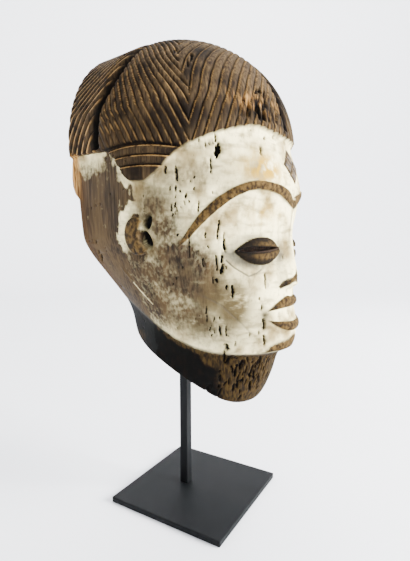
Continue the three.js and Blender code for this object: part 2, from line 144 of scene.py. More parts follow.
# Cracks and insect holes of the seen side, read off the photograph one by one:
# across, depth, height, length, half width and how deep they go
holes = [
    (-78, -25, 185, 4.7, 1, 2.2), (-75, -32, 182, 9.6, 1.3, 2.8), (-63, -48, 201, 3.2, 0.5, 1.2),
    (-61, -50, 202, 1.4, 0.7, 1.2), (-63, -52, 187, 10.1, 0.8, 1.8), (-70, -43, 179, 1.3, 0.9, 1.6),
    (-71, -41, 177, 1.4, 0.6, 1.2), (-70, -43, 172, 1.3, 0.7, 1.2), (-64, -54, 169, 1.0, 0.6, 1.2),
    (-73, -38, 167, 2.4, 1.1, 2), (-73, -37, 162, 3.0, 0.6, 1.2), (-72, -40, 163, 1.7, 0.5, 1),
    (-69, -46, 160, 7.2, 0.8, 1.8), (-32, -75, 200, 5.4, 1.1, 2.2), (-36, -69, 214, 1.1, 0.7, 1.2),
    (-25, -75, 210, 2.0, 0.8, 1.6), (-6, -78, 215, 9.3, 1.3, 2.4), (-19, -75, 218, 2.3, 1, 1.8),
    (-15, -77, 212, 2.4, 0.8, 1.5), (-10, -77, 220, 1.7, 0.9, 1.5), (-77, -28, 172, 2.7, 0.6, 1.2),
    (-76, -32, 172, 5.0, 0.7, 1.4), (-75, -35, 170, 1.7, 0.8, 1.4), (-76, -31, 161, 3.6, 0.8, 1.5),
    (-77, -29, 159, 4.1, 0.9, 1.8), (-75, -32, 158, 3.1, 0.6, 1.2), (-76, -29, 154, 2.0, 0.7, 1.3),
    (-74, -32, 140, 1.4, 0.8, 1.4), (-60, -57, 147, 6.2, 0.9, 1.8), (-60, -56, 141, 6.9, 0.8, 1.5),
    (-55, -59, 133, 8.8, 1.2, 2.6), (-56, -59, 140, 4.2, 0.7, 1.5), (-65, -49, 140, 3.4, 0.8, 1.6),
    (-63, -50, 132, 1.3, 0.8, 1.5), (-70, -39, 133, 16.7, 0.6, 1.5), (-59, -54, 124, 3.2, 1, 2),
    (-58, -54, 119, 7.1, 0.9, 1.6), (-56, -57, 123, 4.6, 1.1, 2), (-55, -57, 116, 5.4, 1.7, 3.2),
    (-53, -59, 117, 2.5, 0.7, 1.5), (-63, -46, 121, 6.0, 0.8, 1.6), (-56, -53, 108, 2.2, 1.3, 2.4),
    (-52, -59, 103, 2.6, 1.3, 2.2), (-49, -62, 100, 9.2, 1.2, 2.4), (-58, -51, 108, 4.7, 0.6, 1.2),
    (-56, -44, 86, 5.4, 0.7, 1.5), (-58, -36, 79, 1.2, 0.6, 1), (-57, -39, 81, 1.5, 0.5, 1),
    (-53, -49, 79, 3.8, 0.7, 1.3), (-55, -44, 79, 4.6, 0.6, 1.2), (-49, -52, 70, 7.5, 1, 2),
    (-47, -56, 70, 7.4, 0.9, 1.6), (-52, -45, 70, 2.0, 0.7, 1.2), (-51, -46, 66, 2.0, 0.8, 1.4),
    (-51, -48, 69, 2.4, 0.6, 1.1), (-44, -55, 57, 4.5, 2.2, 2.6), (-41, -51, 49, 11.1, 0.8, 2),
    (-29, -79, 107, 11.0, 0.9, 2), (-31, -77, 87, 3.8, 0.8, 1.6), (-29, -78, 74, 7.5, 1.2, 2.6),
    (-28, -78, 62, 7.2, 1.1, 2.4), (-33, -76, 94, 1.5, 0.8, 1.4), (-32, -75, 68, 2.4, 0.7, 1.3),
    (-10, -85, 125, 12.5, 0.35, 0.8), (-37, -70, 67, 4.7, 0.4, 1), (-42, -61, 60, 4.0, 0.5, 1.1),
    (-69, -32, 117, 1.3, 0.9, 1.4), (-68, -23, 105, 1.5, 0.8, 1.2), (-79, 42, 136, 1.9, 1, 1.4),
    (-72, 43, 123, 5.3, 0.9, 1.6), (-75, 43, 128, 2.4, 0.6, 1.2), (-30, -60, 41, 6.6, 1.7, 2.6),
    (-29, -62, 42, 4.4, 0.8, 1.6), (-32, -56, 34, 6.5, 1.1, 2.2), (-34, -54, 37, 5.1, 1.1, 2),
    (-29, -56, 24, 6.8, 1.1, 2), (-19, -63, 21, 7.3, 1.4, 2.4), (-23, -64, 31, 3.6, 1.3, 2.2),
    (-20, -66, 31, 8.6, 0.8, 1.8), (-37, -45, 29, 6.1, 0.9, 1.8), (-19, -71, 43, 7.7, 0.7, 1.5),
    (-21, -68, 39, 5.4, 0.6, 1.4), (-29, -65, 45, 4.8, 0.6, 1.3), (-12, -71, 35, 6.6, 0.8, 1.5),
    (-26, -62, 35, 3.1, 0.9, 1.6), (-33, -51, 27, 5.3, 0.8, 1.5), (-27, -60, 28, 3.6, 0.7, 1.4),
    (-25, -56, 17, 3.8, 0.6, 1.2), (-15, -68, 28, 5.8, 0.7, 1.5), (-13, -74, 43, 4.0, 0.7, 1.3),
    (-57, -11, 276, 2.4, 1.3, 1.6), (-59, -20, 269, 4.0, 1, 1.3), (-56, -32, 262, 6.0, 1.2, 1.6),
    (-62, -33, 257, 5.9, 0.9, 1.4), (-39, -65, 233, 1.8, 1.4, 2.6), (-29, -71, 243, 2.6, 1.5, 2.8),
    (-30, -69, 242, 2.5, 1.3, 2.6), (-25, -73, 238, 10.7, 1.2, 2.6), (-60, -54, 206, 5, 0.9, 2),
    (-59, -55.5, 198, 9, 2.7, 3.6),
]

# Made-up cuts for the far side, finer ones for the seen side, and the collar. How many, whether their places
# run in depth, those places, their heights, form and scale of the length, least length, half widths, depths
randomCuts = [
    (130, False, (20, 68), (62, 205), (2.0, 1.6), 0.8, (0.4, 0.9), (0.8, 2.0)),
    (60, True, (-55, 58), (62, 205), (2.0, 0.9), 0.5, (0.3, 0.5), (0.5, 1.0)),
    (110, False, (-40, 46), (8, 50), (2.2, 1.7), 1, (0.35, 0.9), (0.8, 1.8)),
]

# Broken edges of the steel, in millimetres
stand = {
    "rodRound": 0.5,
    "footBevel": 0.8,
}

studio = {
    "cameraPlace": (-0.310, -0.1955, 0.230),
    "cameraAzimuth": 59.05,  # degrees that the view turns from +Y towards +X
    "cameraDown": 5.1,
    "cameraRoll": -0.14,
    "cameraLens": 26.25,
    "backdropColor": "#e6e7ea",
}


paint = {
    "woodDark": "#1b150f",
    "woodLight": "#403322",
    "woodFigure": "#4f3e25",
    # worn edge, partly a painted highlight
    "woodRim": "#452b0c",
    "earth": "#f3e6ae",
    "earthCloud": "#8a7850",
    "earthFlake": "#40301a",
    "earthWash": "#45381f",
    "earthStain": "#a4801d",
    # painted shade in the earth
    "earthShade": "#3c3b35",
    "earthHaze": "#4e432b",
    "bareDark": "#20180d",
    "bareLight": "#4e3c1f",
    "bareShade": "#0c0906",
    "soot": "#030302",
    "sootBrown": "#0c0603",
    "amberDark": "#100c07",
    "amberLight": "#332610",
    # painted shade along the jaw edge
    "jawEdgeShade": "#5a574e",
    "hairDark": "#1f1710",
    "hairLight": "#453723",
    "hairShade": "#120d08",
    # painted highlight along the hair strands
    "hairHighlight": "#a07c48",
    # painted shade in the grooves of the hair
    "grooveShade": "#030201",
    # charred wood, and painted shade under the stub
    "charAndShade": "#060504",
    "freshDark": "#4a2c10",
    "freshLight": "#b88a4c",
    # painted shade in hollows, slits and cracks
    "pitShade": "#050403",
    "hollowDark": "#1c1510",
    "hollowLight": "#3d2d1f",
    "steelDark": "#030506",
    "steelLight": "#060708",
}


def linear(hexColor):
    parts = [int(hexColor[i : i + 2], 16) / 255 for i in (1, 3, 5)]
    return tuple(p / 12.92 if p <= 0.04045 else ((p + 0.055) / 1.055) ** 2.4 for p in parts) + (1.0,)


# Shapes of numbers
def smooth(start, end, value):
    t = np.clip((value - start) / (end - start), 0.0, 1.0)
    return t * t * (3.0 - 2.0 * t)


def bell(value, width):
    return np.exp(-((value / width) ** 2))


# A soft round mark, by the distance from its middle in each direction
def spot(across, up):
    return bell(np.hypot(across, up), 1)


# A column of the stations at a height, by a curve that never overshoots
def station(column, height):
    table = np.array(carving["stations"], float)
    places, values = table[:, 0], table[:, column]
    rises = np.diff(values) / np.diff(places)
    product = rises[:-1] * rises[1:]
    total = np.where(product > 0, rises[:-1] + rises[1:], 1.0)
    inner = np.where(product > 0, 2.0 * product / total, 0.0)
    tangents = np.concatenate([rises[:1], inner, rises[-1:]])
    h = np.clip(height, places[0], places[-1])
    i = np.clip(np.searchsorted(places, h, side="right") - 1, 0, len(places) - 2)
    span = (places[1:] - places[:-1])[i]
    t = (h - places[i]) / span
    start = (1 + 2 * t) * (1 - t) ** 2 * values[i] + t * (1 - t) ** 2 * span * tangents[i]
    return start + t * t * (3 - 2 * t) * values[i + 1] + t * t * (t - 1) * span * tangents[i + 1]


# The head form: below zero inside it, above zero outside it
def headLevel(x, y, z, inset):
    widest = carving["widest"]
    jawSweep = 0.0052 * np.maximum(0.0, y + 62.0) ** 2
    height = z - jawSweep * (1.0 - smooth(68, 153, z))
    backTaper = 0.05 * smooth(widest, 70, y) * (1.0 - smooth(180, 215, z))
    backTaper = backTaper + 0.1 * smooth(widest, 60, y) * (1.0 - smooth(53, 133, z))
    halfWidth = (station(1, height) - inset) * (1.0 - backTaper)
    reach = station(2, height) - inset + widest
    domeHeight = carving["crown"] - inset - carving["domeFoot"] - 3.0 * smooth(10, 60, y)
    across = np.abs(x) / halfWidth
    forward = np.maximum(0.0, widest - y) / reach
    top = np.maximum(0.0, z - carving["domeFoot"]) / domeHeight
    return across**2.15 + forward**1.85 + top**2.3 - 1.0


# Where rays from the heart of the head meet its form, found by halving
def meet(direction, inset):
    heart = carving["heart"]
    beyond, halvings = 280.0, 24
    near = np.zeros(direction.shape[:-1])
    far = np.full(direction.shape[:-1], beyond)
    for _ in range(halvings):
        middle = (near + far) / 2
        place = [heart[k] + direction[..., k] * middle for k in range(3)]
        inside = headLevel(*place, inset) < 0
        near = np.where(inside, middle, near)
        far = np.where(inside, far, middle)
    return np.stack([heart[k] + direction[..., k] * near for k in range(3)], axis=-1)


def bentDirection(bend, turn):
    return np.stack([np.sin(bend) * np.cos(turn), -np.cos(bend), np.sin(bend) * np.sin(turn)], axis=-1)


# Distance inside the edge of the opening, which runs round the back and along the foot of the collar
def rimDistance(y, z):
    rimDepth = 60 - 24.6 * (1 - smooth(73, 138, z)) - 3 * (1 - smooth(138, 203, z))
    edgeHeight = 4 + 0.6 * (y + 55) * smooth(-75, -30, y)
    toBack = rimDepth - y
    toEdge = (z - edgeHeight) * 0.87
    softness = 5.0
    toBack, toEdge = [np.exp(-np.clip(distance, -80, 300) / softness) for distance in (toBack, toEdge)]
    return -softness * np.log(toBack + toEdge)


# Angle from straight ahead at which a ray from the heart meets the rim, round the opening
def openingAngles(inset):
    turn = np.linspace(-math.pi, math.pi, 1441)
    low = np.full(turn.shape, 0.8)
    high = np.full(turn.shape, 2.5)
    for _ in range(20):
        bend = (low + high) / 2
        point = meet(bentDirection(bend, turn), inset)
        inside = rimDistance(point[..., 1], point[..., 2]) > 0
        low = np.where(inside, bend, low)
        high = np.where(inside, high, bend)
    return turn, low


def netDirections(columns, rows, opening):
    s = np.linspace(-1, 1, columns + 1)
    t = np.linspace(-1, 1, rows + 1)
    s = s * (0.8 + 0.2 * s * s)
    t = t - 0.12 * (1 - t * t)
    s, t = np.meshgrid(s, t)
    a = s * np.sqrt(1 - t * t / 2)
    b = t * np.sqrt(1 - s * s / 2)
    turn = np.arctan2(b, a)
    bend = np.hypot(a, b) * np.interp(turn, *opening)
    return bentDirection(bend, turn), turn


def normals(points):
    down = np.gradient(points, axis=0)
    across = np.gradient(points, axis=1)
    normal = np.cross(across, down)
    normal /= np.linalg.norm(normal, axis=-1, keepdims=True) + 1e-12
    middle = normal[normal.shape[0] // 2, normal.shape[1] // 2]
    return normal if middle[1] < 0 else -normal


# Carving of the face, as a height that stands forward of the head form
def relief(x, z):
    away = np.abs(x)
    browHeight = 178 - 0.0065 * np.maximum(0, away - 20) ** 2
    brow = 2.4 * bell(z - browHeight, 9) * (1 - smooth(46, 66, away))
    socket = -2.6 * np.exp(-((((away - 32) / 27) ** 2 + ((z - 134) / 24) ** 2) ** 2))
    bridge = 2.2 * bell(away, 8) * smooth(90, 112, z) * (1 - smooth(158, 172, z))
    noseWidth = 6 + 8.5 * (1 - smooth(102, 138, z))
    nose = 6 * bell(away, noseWidth) * smooth(98, 103.5, z) * (1 - smooth(104, 150, z))
    muzzle = 4.5 * bell(away, 27) * bell(z - 80, 20)
    mouth = -2.4 * bell(away, 19) * bell(z - 80, 4.5)
    chin = 2.4 * bell(away, 17) * bell(z - 59, 8)
    cheek = 1.6 * bell(away - 42, 20) * bell(z - 105, 20)
    return brow + socket + bridge + nose + muzzle + mouth + chin + cheek


# Height of a drawn line at a depth, its corners rounded
def lineHeight(rows, y):
    steps = np.arange(-140.0, 90.0, 0.5)
    heights = fromTable(rows, 1, steps)
    kernel = bell(np.arange(-8, 9) * 0.5, 2.2)
    kernel /= kernel.sum()
    soft = np.convolve(np.pad(heights, 8, mode="edge"), kernel, mode="valid")
    return np.interp(y, steps, soft)


# Smooth random numbers on a lattice, the same each run
def valueNoise(x, y, z, size, seed):
    generator = np.random.default_rng(seed)
    lattice = generator.random((32, 32, 32))
    place = [np.asarray(v) / s + 40.0 for v, s in zip((x, y, z), size)]
    cell = [np.floor(p).astype(int) for p in place]
    part = [p - c for p, c in zip(place, cell)]
    part = [p * p * (3 - 2 * p) for p in part]
    total = 0.0
    for corner in range(8):
        bits = [(corner >> k) & 1 for k in range(3)]
        weight = 1.0
        for k in range(3):
            weight = weight * (part[k] if bits[k] else 1 - part[k])
        index = [(cell[k] + bits[k]) % 32 for k in range(3)]
        total = total + weight * lattice[index[0], index[1], index[2]]
    return total


def turbulence(x, y, z, size, seed):
    total = 0.0
    for octave in range(3):
        share = 0.5**octave
        total = total + share * valueNoise(x, y, z, [s * share for s in size], seed + octave)
    return total / 1.75


def fromTable(rows, column, value):
    rows = sorted(rows)
    return np.interp(value, [row[0] for row in rows], [row[column] for row in rows])


# Coiffure: signed distance to the nearest groove, the space between grooves, and whether it is the rear lobe
def hairPattern(x, y, z):
    c = coiffure
    dx, dy, dz = np.abs(x), y - fromTable(c["sideCrease"], 1, z), z - carving["domeFoot"]
    length = np.sqrt(dx**2 + dy**2 + dz**2) + 1e-9
    q = np.arccos(np.clip(dz / length, -1, 1))
    turn = np.arctan2(dx, -dy)
    meeting = np.radians(45 + 12 * smooth(228, 270, z))
    onFront = turn < meeting
    share = np.where(onFront, (meeting - turn) / meeting, (turn - meeting) / (math.pi / 2 - meeting))
    lean = np.where(onFront, c["frontLean"], c["sideLean"])
    pitch = np.where(onFront, c["frontPitch"], c["sidePitch"])
    along = c["drop"] * (q + lean * (math.pi / 4) * share * np.sin(q))
    phase = (along - 5) / (pitch * np.hypot(1, lean))
    behind = np.maximum(0.0, dy)
    swing = np.arctan2(dx, dz)
    bend = np.minimum(behind, 11.0)
    swept = 1.3 * behind + 0.06 * bend**2 + 0.12 * bend * (behind - bend)
    rearPhase = (c["drop"] * swing - swept) / c["rearPitch"]
    rearStep = c["rearPitch"] / np.hypot(1, 1.3 + 0.12 * bend)
    isRear = dy > 0
    phase = np.where(isRear, rearPhase, phase)
    step = np.where(isRear, rearStep, pitch)
    return (phase - np.round(phase)) * step, step, isRear


# Cracks and insect holes, the listed ones and the random ones: the painted shade in them and how deep they
# are at each point
def cutWood(x, y, z):
    generator = np.random.default_rng(7)
    cuts = list(holes)
    for count, inDepth, places, heights, lengths, least, halves, depths in randomCuts:
        for _ in range(count):
            place, middle = generator.uniform(*places), generator.uniform(*heights)
            length = generator.gamma(*lengths) + least
            half, deep = generator.uniform(*halves), generator.uniform(*depths)
            cuts.append((None if inDepth else place, -place if inDepth else None, middle, length, half, deep))
    darkAndShade, depth = np.zeros(x.shape), np.zeros(x.shape)
    for cx, cy, cz, length, half, deep in cuts:
        near = np.abs(z - cz) < length / 2 + 4 * half
        near &= x < 0 if cx is None else np.abs(x - cx) < 6
        near &= y < -20 if cy is None else np.abs(y - cy) < 6
        index = np.nonzero(near)
        if len(index[0]) == 0:
            continue
        px, py, pz = x[index], y[index], z[index]
        along = np.clip((pz - cz) / (length / 2 + 0.01), -1, 1)
        bow = 0.35 * half * np.sin(3.1 * (pz - cz) / (length + 1) + cz)
        if cy is None:
            gap = np.abs(px - cx - bow)
        elif cx is None:
            gap = np.abs(py - cy - bow)
        else:
            away = np.hypot(px - cx, py - cy)
            slanted = abs(cx) >= 14 and abs(cy) >= 14
            gap = np.abs(0.5 * (px - cx) - 0.86 * (py - cy) + bow) if slanted else away
            gap = np.where(away > 5, 9.0, gap)
        over = np.maximum(0, np.abs(pz - cz) - length / 2)
        reach = np.hypot(gap, over) + half * (valueNoise(px, py, pz, (0.8, 0.8, 1.5), 71) - 0.5)
        width = half * (0.55 + 0.45 * np.sqrt(1 - along**2 * 0.9))
        cut = 1 - smooth(0.35 * width, 1.15 * width, reach)
        darkAndShade[index] = np.maximum(darkAndShade[index], smooth(0.2, 0.7, cut))
        depth[index] = np.maximum(depth[index], deep * cut)
    return darkAndShade, depth


# The carving of the surface: how far it stands out of the head form, and the marks that the material reads
def carve(points):
    x, y, z = points[..., 0], points[..., 1], points[..., 2]
    away = np.abs(x)
    fields = {}
    height = np.zeros(x.shape)

    # Coiffure
    hairline = lineHeight(coiffure["hairline"], y)
    lobeFoot = lineHeight(coiffure["lobeFoot"], y)
    slope = (lineHeight(coiffure["hairline"], y + 1) - lineHeight(coiffure["hairline"], y - 1)) / 2
    ragged = 0.5 * (turbulence(x, y, z, (6, 6, 6), 11) - 0.5)
    toHair = (z - hairline) / np.sqrt(1 + slope**2) + ragged
    hair = smooth(-0.5, 0.7, toHair)
    signed, step, isRear = hairPattern(x, y, z)
    grooveDistance = np.abs(signed)
    wander = 0.5 + 0.5 * smooth(0.2, 0.5, turbulence(x, y, z, (14, 14, 14), 21))
    wander = np.where(isRear, 1.0, wander)
    grooveHalf = coiffure["grooveHalf"] * np.where(isRear, 1.2, 1.0)
    groove = bell(grooveDistance, grooveHalf)
    strand = np.where(isRear, 0.9, 0.4) * (1 - (2 * grooveDistance / step - 1) ** 2)
    inTemple = (z < lobeFoot) & (y < 26) & (y > -40) & (toHair > -1)
    bandPlace = (z - 187.4 - 1.5 * (1 - ((y + 6) / 20) ** 2)) / coiffure["bandPitch"]
    bandSigned = (bandPlace - np.round(bandPlace)) * coiffure["bandPitch"]
    bandDistance = np.where(np.round(bandPlace) < 0, 9.0, np.abs(bandSigned))
    footDistance = np.abs(z - lobeFoot)
    bandGroove = np.maximum(bell(bandDistance, 0.6), bell(footDistance, 1.0) * smooth(-44, -34, y))
    bandRound = 0.9 * (1 - np.clip(1 - bandDistance / 3.4, 0, 1) ** 2)
    bandRound = bandRound - 1.2 * (1 - smooth(0, 8, lobeFoot - z))
    groove = np.where(inTemple, bandGroove, groove * wander)
    strand = np.where(inTemple, bandRound, strand)
    rootGroove = bell(footDistance, 1.0) * smooth(-44, -30, y) * (1 - smooth(20, 27, y))
    groove = np.maximum(groove, rootGroove * (z > lobeFoot - 2))
    above = smooth(199, 204, z)
    fromSideCrease = y - fromTable(coiffure["sideCrease"], 1, z)
    sideCrease = np.abs(fromSideCrease) * above + 20 * (1 - above)
    frontCrease = np.abs(x + 3 * smooth(216, 235, z)) + 20 * (1 - smooth(216, 220, z))
    frontCrease = frontCrease + 30 * smooth(-2, 4, fromSideCrease)
    creaseDistance = np.minimum(sideCrease, frontCrease)
    crease = bell(creaseDistance, coiffure["creaseHalf"]) * (toHair > 0)
    hairHeight = coiffure["rise"] + strand - coiffure["grooveDepth"] * groove
    hairHeight = hairHeight * (1 - crease) + (coiffure["rise"] - coiffure["creaseDepth"]) * crease
    charred = bell((away - 29) / 19, 1) * smooth(219, 223, z) * (1 - smooth(232, 243, z))
    charred = charred * (x < 0) * (y < -55)
    splinters = valueNoise(x, y, z, (2.2, 2.2, 16), 31)
    hairHeight = hairHeight - charred * (0.6 + 2.6 * smooth(0.35, 0.75, splinters))
    height += hair * hairHeight
    fields["hair"] = hair
    # Painted shade: the grooves and the crease of the hair are painted near black
    creaseMark = np.clip(1.7 * bell(creaseDistance, 1.35 * coiffure["creaseHalf"]), 0, 1) * (toHair > 0)
    fields["groove"] = hair * np.clip(np.maximum(groove, creaseMark), 0, 1)
    # Painted highlights: a thin light line beside each groove, down the middle of each round strand of the
    # rear lobe, and beside each band groove of the temple tress
    lit = np.where(isRear, bell(signed - 0.3 * step, 0.17 * step), 0.6 * bell(signed - 0.85, 0.26) * wander)
    lit = np.where(inTemple, bell(bandSigned + 0.9, 0.42) * (bandDistance < 8), lit)
    fields["ridgeHighlight"] = hair * lit * (1 - creaseMark)
    low = spot((y + 22) / 22, (z - 213) / 12) + 0.7 * spot((y + 52) / 20, (z - 222) / 9)
    darkHair = hair * np.clip(low + 0.4 * inTemple * bell((y - 4) / 12, 1), 0, 1)
    fields["charAndShade"] = charred * smooth(0.3, 0.62, splinters + 0.15 * charred)
    fields["fresh"] = charred * smooth(0.5, 0.7, valueNoise(x, y, z, (1.6, 1.6, 7), 33)) * bell(z - 236, 7)

    # Brow, and the thin line that runs on from it down the side of the nose
    degrees = np.degrees(np.arctan2(away, -(y + 6)))
    browWidth = np.maximum(0.3, fromTable(face["brow"], 2, degrees))
    acrossBrow = np.abs(z - fromTable(face["brow"], 1, degrees)) / browWidth
    acrossBrow = acrossBrow + 0.14 * (turbulence(x, y, z, (5, 5, 5), 41) - 0.5)
    onBrow = (1 - smooth(0.86, 1.08, acrossBrow)) * (1 - smooth(69, 73, degrees)) * (y < 0)
    height += onBrow * face["browRise"] * (1 - 0.25 * acrossBrow**2) * smooth(-1, 9, degrees)
    noseLine = bell(away - 2.2 - 0.04 * (165 - z), 0.9) * smooth(128, 146, z)
    noseLine = noseLine * (1 - smooth(162, 167, z)) * (y < -60)

    # Eyes
    u = (away - face["eyeAcross"]) / face["eyeHalfLength"]
    almond = np.maximum(0.03, 1 - np.abs(np.clip(u, -1, 1)) ** 2.4)
    v = (z - face["eyeUp"]) / (face["eyeHalfHeight"] * almond)
    inEye = (np.abs(u) < 1) & (np.abs(v) < 1) & (y < -30)
    lid = (face["eyeBulge"] + 1) * np.sqrt(np.clip(1 - v**2, 0, 1)) * np.sqrt(np.clip(almond - 0.03, 0, 1))
    lid = -1 + lid
    onLid = np.where(inEye, smooth(-0.2, 0.8, lid), 0.0)
    fromSlit = np.abs(z - face["eyeUp"] - face["slitRise"] + face["slitSlope"] * np.clip(u, -1, 1))
    lipOfSlit = 1.2 * bell(fromSlit, 3.2) * smooth(1.0, 0.6, np.abs(u))
    height += np.where(inEye, np.maximum(lid - lipOfSlit, 0), 0.0)
    eyeRing = np.sqrt(u**2 + ((z - face["eyeUp"]) / face["eyeHalfHeight"]) ** 2)

    # Painted shade on the lids: darker towards their edges, in a band under the upper lid along the slit, and
    # a little over the lower lid
    slitShade = onLid * bell(fromSlit - 1.5, 2.2) * smooth(-0.7, 0.6, u)
    fromCentre = np.hypot(u + 0.1, 1.15 * v * almond)
    lidEdge = onLid * (smooth(0.45, 0.95, fromCentre) + slitShade + 0.2 * (z < face["eyeUp"]))
    fields["darkAndShade"] = np.clip(darkHair + lidEdge, 0, 1)

    # Lips
    lips = np.zeros(x.shape)
    across = x / face["lipHalf"]
    spread = np.maximum(0.04, np.clip(1 - across**2, 0, 1) ** 0.8)
    for low, high, corner, peak in face["lips"]:
        bottom = corner + (low - corner) * spread
        top = corner + (high - corner) * spread - peak * bell(across, 0.16)
        level = 2 * (z - bottom) / np.maximum(top - bottom, 0.3) - 1
        inside = (np.abs(level) < 1) & (np.abs(across) < 1) & (y < -50)
        swell = -1 + 3.8 * np.sqrt(np.clip(1 - level**2, 0, 1)) * np.sqrt(np.clip(1 - across**2, 0, 1))
        height += np.where(inside, np.maximum(swell, 0), 0.0)
        lips = np.maximum(lips, np.where(inside, smooth(-0.1, 0.7, swell), 0.0))
    # Painted shade at the ends of the lips, where they turn into the corners of the mouth
    lipEnds = lips * smooth(0.45, 0.95, np.abs(across))
    fields["darkAndShade"] = np.clip(fields["darkAndShade"] + 0.9 * lipEnds, 0, 1)
    height += 1.4 * bell(z - 79.5, 3.6) * bell(across, 0.75) * (y < -50)
    mouthCorner = spot((away - 28.5) / 2.2, (z - 80.5) / 3.4) * (y < -50)
    height -= 1.2 * mouthCorner

    # Ears: a half disc behind a deep hollow
    earY, earZ = y - face["earBack"], z - face["earUp"]
    onSide = smooth(60, 66, away)
    disc = np.sqrt((earY / 9.8) ** 2 + (earZ / 14.2) ** 2)
    notch = np.sqrt(((earY + 10.6) / 7.2) ** 2 + ((earZ - 1.0) / 11.5) ** 2)
    ear = (1 - smooth(0.9, 1.0, disc)) * smooth(0.96, 1.1, notch) * onSide
    height += ear * (2.2 + 2.4 * np.sqrt(np.clip(1 - disc**2, 0, 1)))
    height -= 1.2 * bell((disc - 1.08) / 0.12, 1) * onSide * (earY > -6)
    pitUpper = bell(np.sqrt(((earY + 8.2 + 0.25 * (earZ - 9)) / 3.4) ** 2 + ((earZ - 9.0) / 5.6) ** 2), 1.0)
    pitLower = bell(np.sqrt(((earY + 5.8 - 0.25 * (earZ + 3)) / 4.8) ** 2 + ((earZ + 3.0) / 7.2) ** 2), 1.0)
    earPit = np.maximum(pitUpper, pitLower) * onSide * (1 - 0.8 * ear)
    height -= 6.8 * smooth(0.15, 0.7, earPit)
    slitHalf = face["slit"] / 2 * np.clip(1 - (u / 0.94) ** 2, 0, 1) ** 0.8 * (0.8 + 0.4 * np.clip(u, -1, 1))
    slitEdge = (1 - smooth(slitHalf + 0.1, slitHalf + 0.8, fromSlit)) * (np.abs(u) < 0.94) * (y < -30)
    # Painted shade, near black: the ear hollows, the corners of the mouth and the edges of the eye slits
    fields["pitShade"] = np.maximum.reduce([smooth(0.25, 0.6, earPit), 0.8 * mouthCorner, slitEdge])

    # Under the nose
    noseLow, noseHigh = fromTable(face["nostril"], 1, away), fromTable(face["nostril"], 2, away)
    noseUnder = smooth(-0.6, 0.5, z - noseLow) * smooth(-0.5, 0.9, noseHigh - z) * (away < 17.5) * (y < -60)
    wing = spot((away - 10.5) / 5.5, (z - 108) / 5.0) * (y < -60)
    height += 1.6 * wing - 0.5 * noseUnder
    # Painted shade on the underside of the nose
    fields["darkAndShade"] = np.maximum(fields["darkAndShade"], noseUnder * bell((away - 12) / 7, 1))

    cut, depth = cutWood(x, y, z)
    # Painted shade in the cracks and holes
    fields["pitShade"] = np.maximum(fields["pitShade"], cut)
    height -= depth

    # Old chips along the hairline and dents of the knife on the cheeks
    chips = smooth(0.62, 0.72, turbulence(x, y, z, (5, 5, 3), 51)) * bell(toHair + 1.0, 1.5) * (y < -40)
    height -= 0.8 * chips
    height += 0.35 * (turbulence(x, y, z, (16, 16, 22), 61) - 0.5) * (1 - hair)

    # Edge of the jaw, and the collar below it
    jawSweep = 0.0052 * np.maximum(0.0, y + 62.0) ** 2
    jaw = z - jawSweep * (1.0 - smooth(68, 153, z))
    fields["collar"] = 1 - smooth(50.0, 51.6, jaw)
    # Painted shade: a grey line along the edge of the jaw, at the top of the collar
    fields["jaw"] = bell(jaw - 50.2, 0.9)
    front = smooth(-36, -50, y)
    under = bell((jaw - 47.0) / 3.4, 1) * smooth(14, -12, y)
    patches = spot((y + 38) / 6, (z - 44) / 5) + spot((y - 20) / 9, (z - 60) / 6)
    fields["ochre"] = np.clip(0.75 * front + 0.7 * under + 0.6 * patches, 0, 1)

    # The crease under the eye, and knife scratches on and behind the cheek
    creases = np.zeros(x.shape)
    scratches = np.zeros(x.shape)
    for across, line, depth in (
        (x, [(-54, 122.5), (-49.2, 116.9), (-46.1, 114.4), (-41, 110.6), (-35, 112.6), (-31, 115)], 0.7),
        (y, [(-2, 88), (8, 99), (17, 110), (21, 115)], -0.5),
        (x, [(-62, 99), (-52, 90), (-44, 79), (-36, 67)], 0.3),
    ):
        middle = np.interp(across, [p[0] for p in line], [p[1] for p in line])
        mark = bell(z - middle, 0.7) * (across > line[0][0]) * (across < line[-1][0]) * (x < 0) * (y < 24)
        height -= depth * mark
        creases = np.maximum(creases, mark * min(1, max(0, depth) / 0.6))
        scratches = np.maximum(scratches, mark * (depth < 0))

    # White earth: how far inside its edge, in millimetres
    rear = fromTable(face["earthEdge"], 1, z)
    white = rear - y
    ledge = 10 * bell((y - 42) / 19, 1) * smooth(176, 197, z) * (1 - smooth(200.5, 201.5, z))
    behindTemple = 9 * bell((y - 7.5 - 0.55 * (z - 182)) / 4.2, 1) * bell((z - 183) / 12, 1)
    aroundEar = np.sqrt(((y + 2) / 13.5) ** 2 + ((z - 140) / 19.5) ** 2)
    ring = 10 * bell((aroundEar - 1.04) / 0.27, 1) * smooth(-16, -4, y + 4)
    fields["white"] = np.maximum(np.maximum(white, ledge - 3.0), np.maximum(behindTemple - 3.0, ring - 4.0))
    fields["white"] = np.clip(fields["white"], -12, 12)
    for name in ("thin", "haze"):
        amount = np.zeros(x.shape)
        for angle, up, angleHalf, upHalf, strength in face[name]:
            patch = spot((degrees - angle) / angleHalf, (z - up) / upHalf)
            amount = np.maximum(amount, strength * patch)
        fields[name] = np.clip(1.35 * amount, 0, 1) * (1 - smooth(204, 214, z)) * (1 - scratches)
    # Stains: warm on the forehead and above the eyes
    warm = 1.2 * spot((away - 33) / 15, (z - 187) / 11) + 0.5 * spot((away - 30) / 16, (z - 155) / 8)
    fields["stain"] = np.clip(warm, 0, 1)
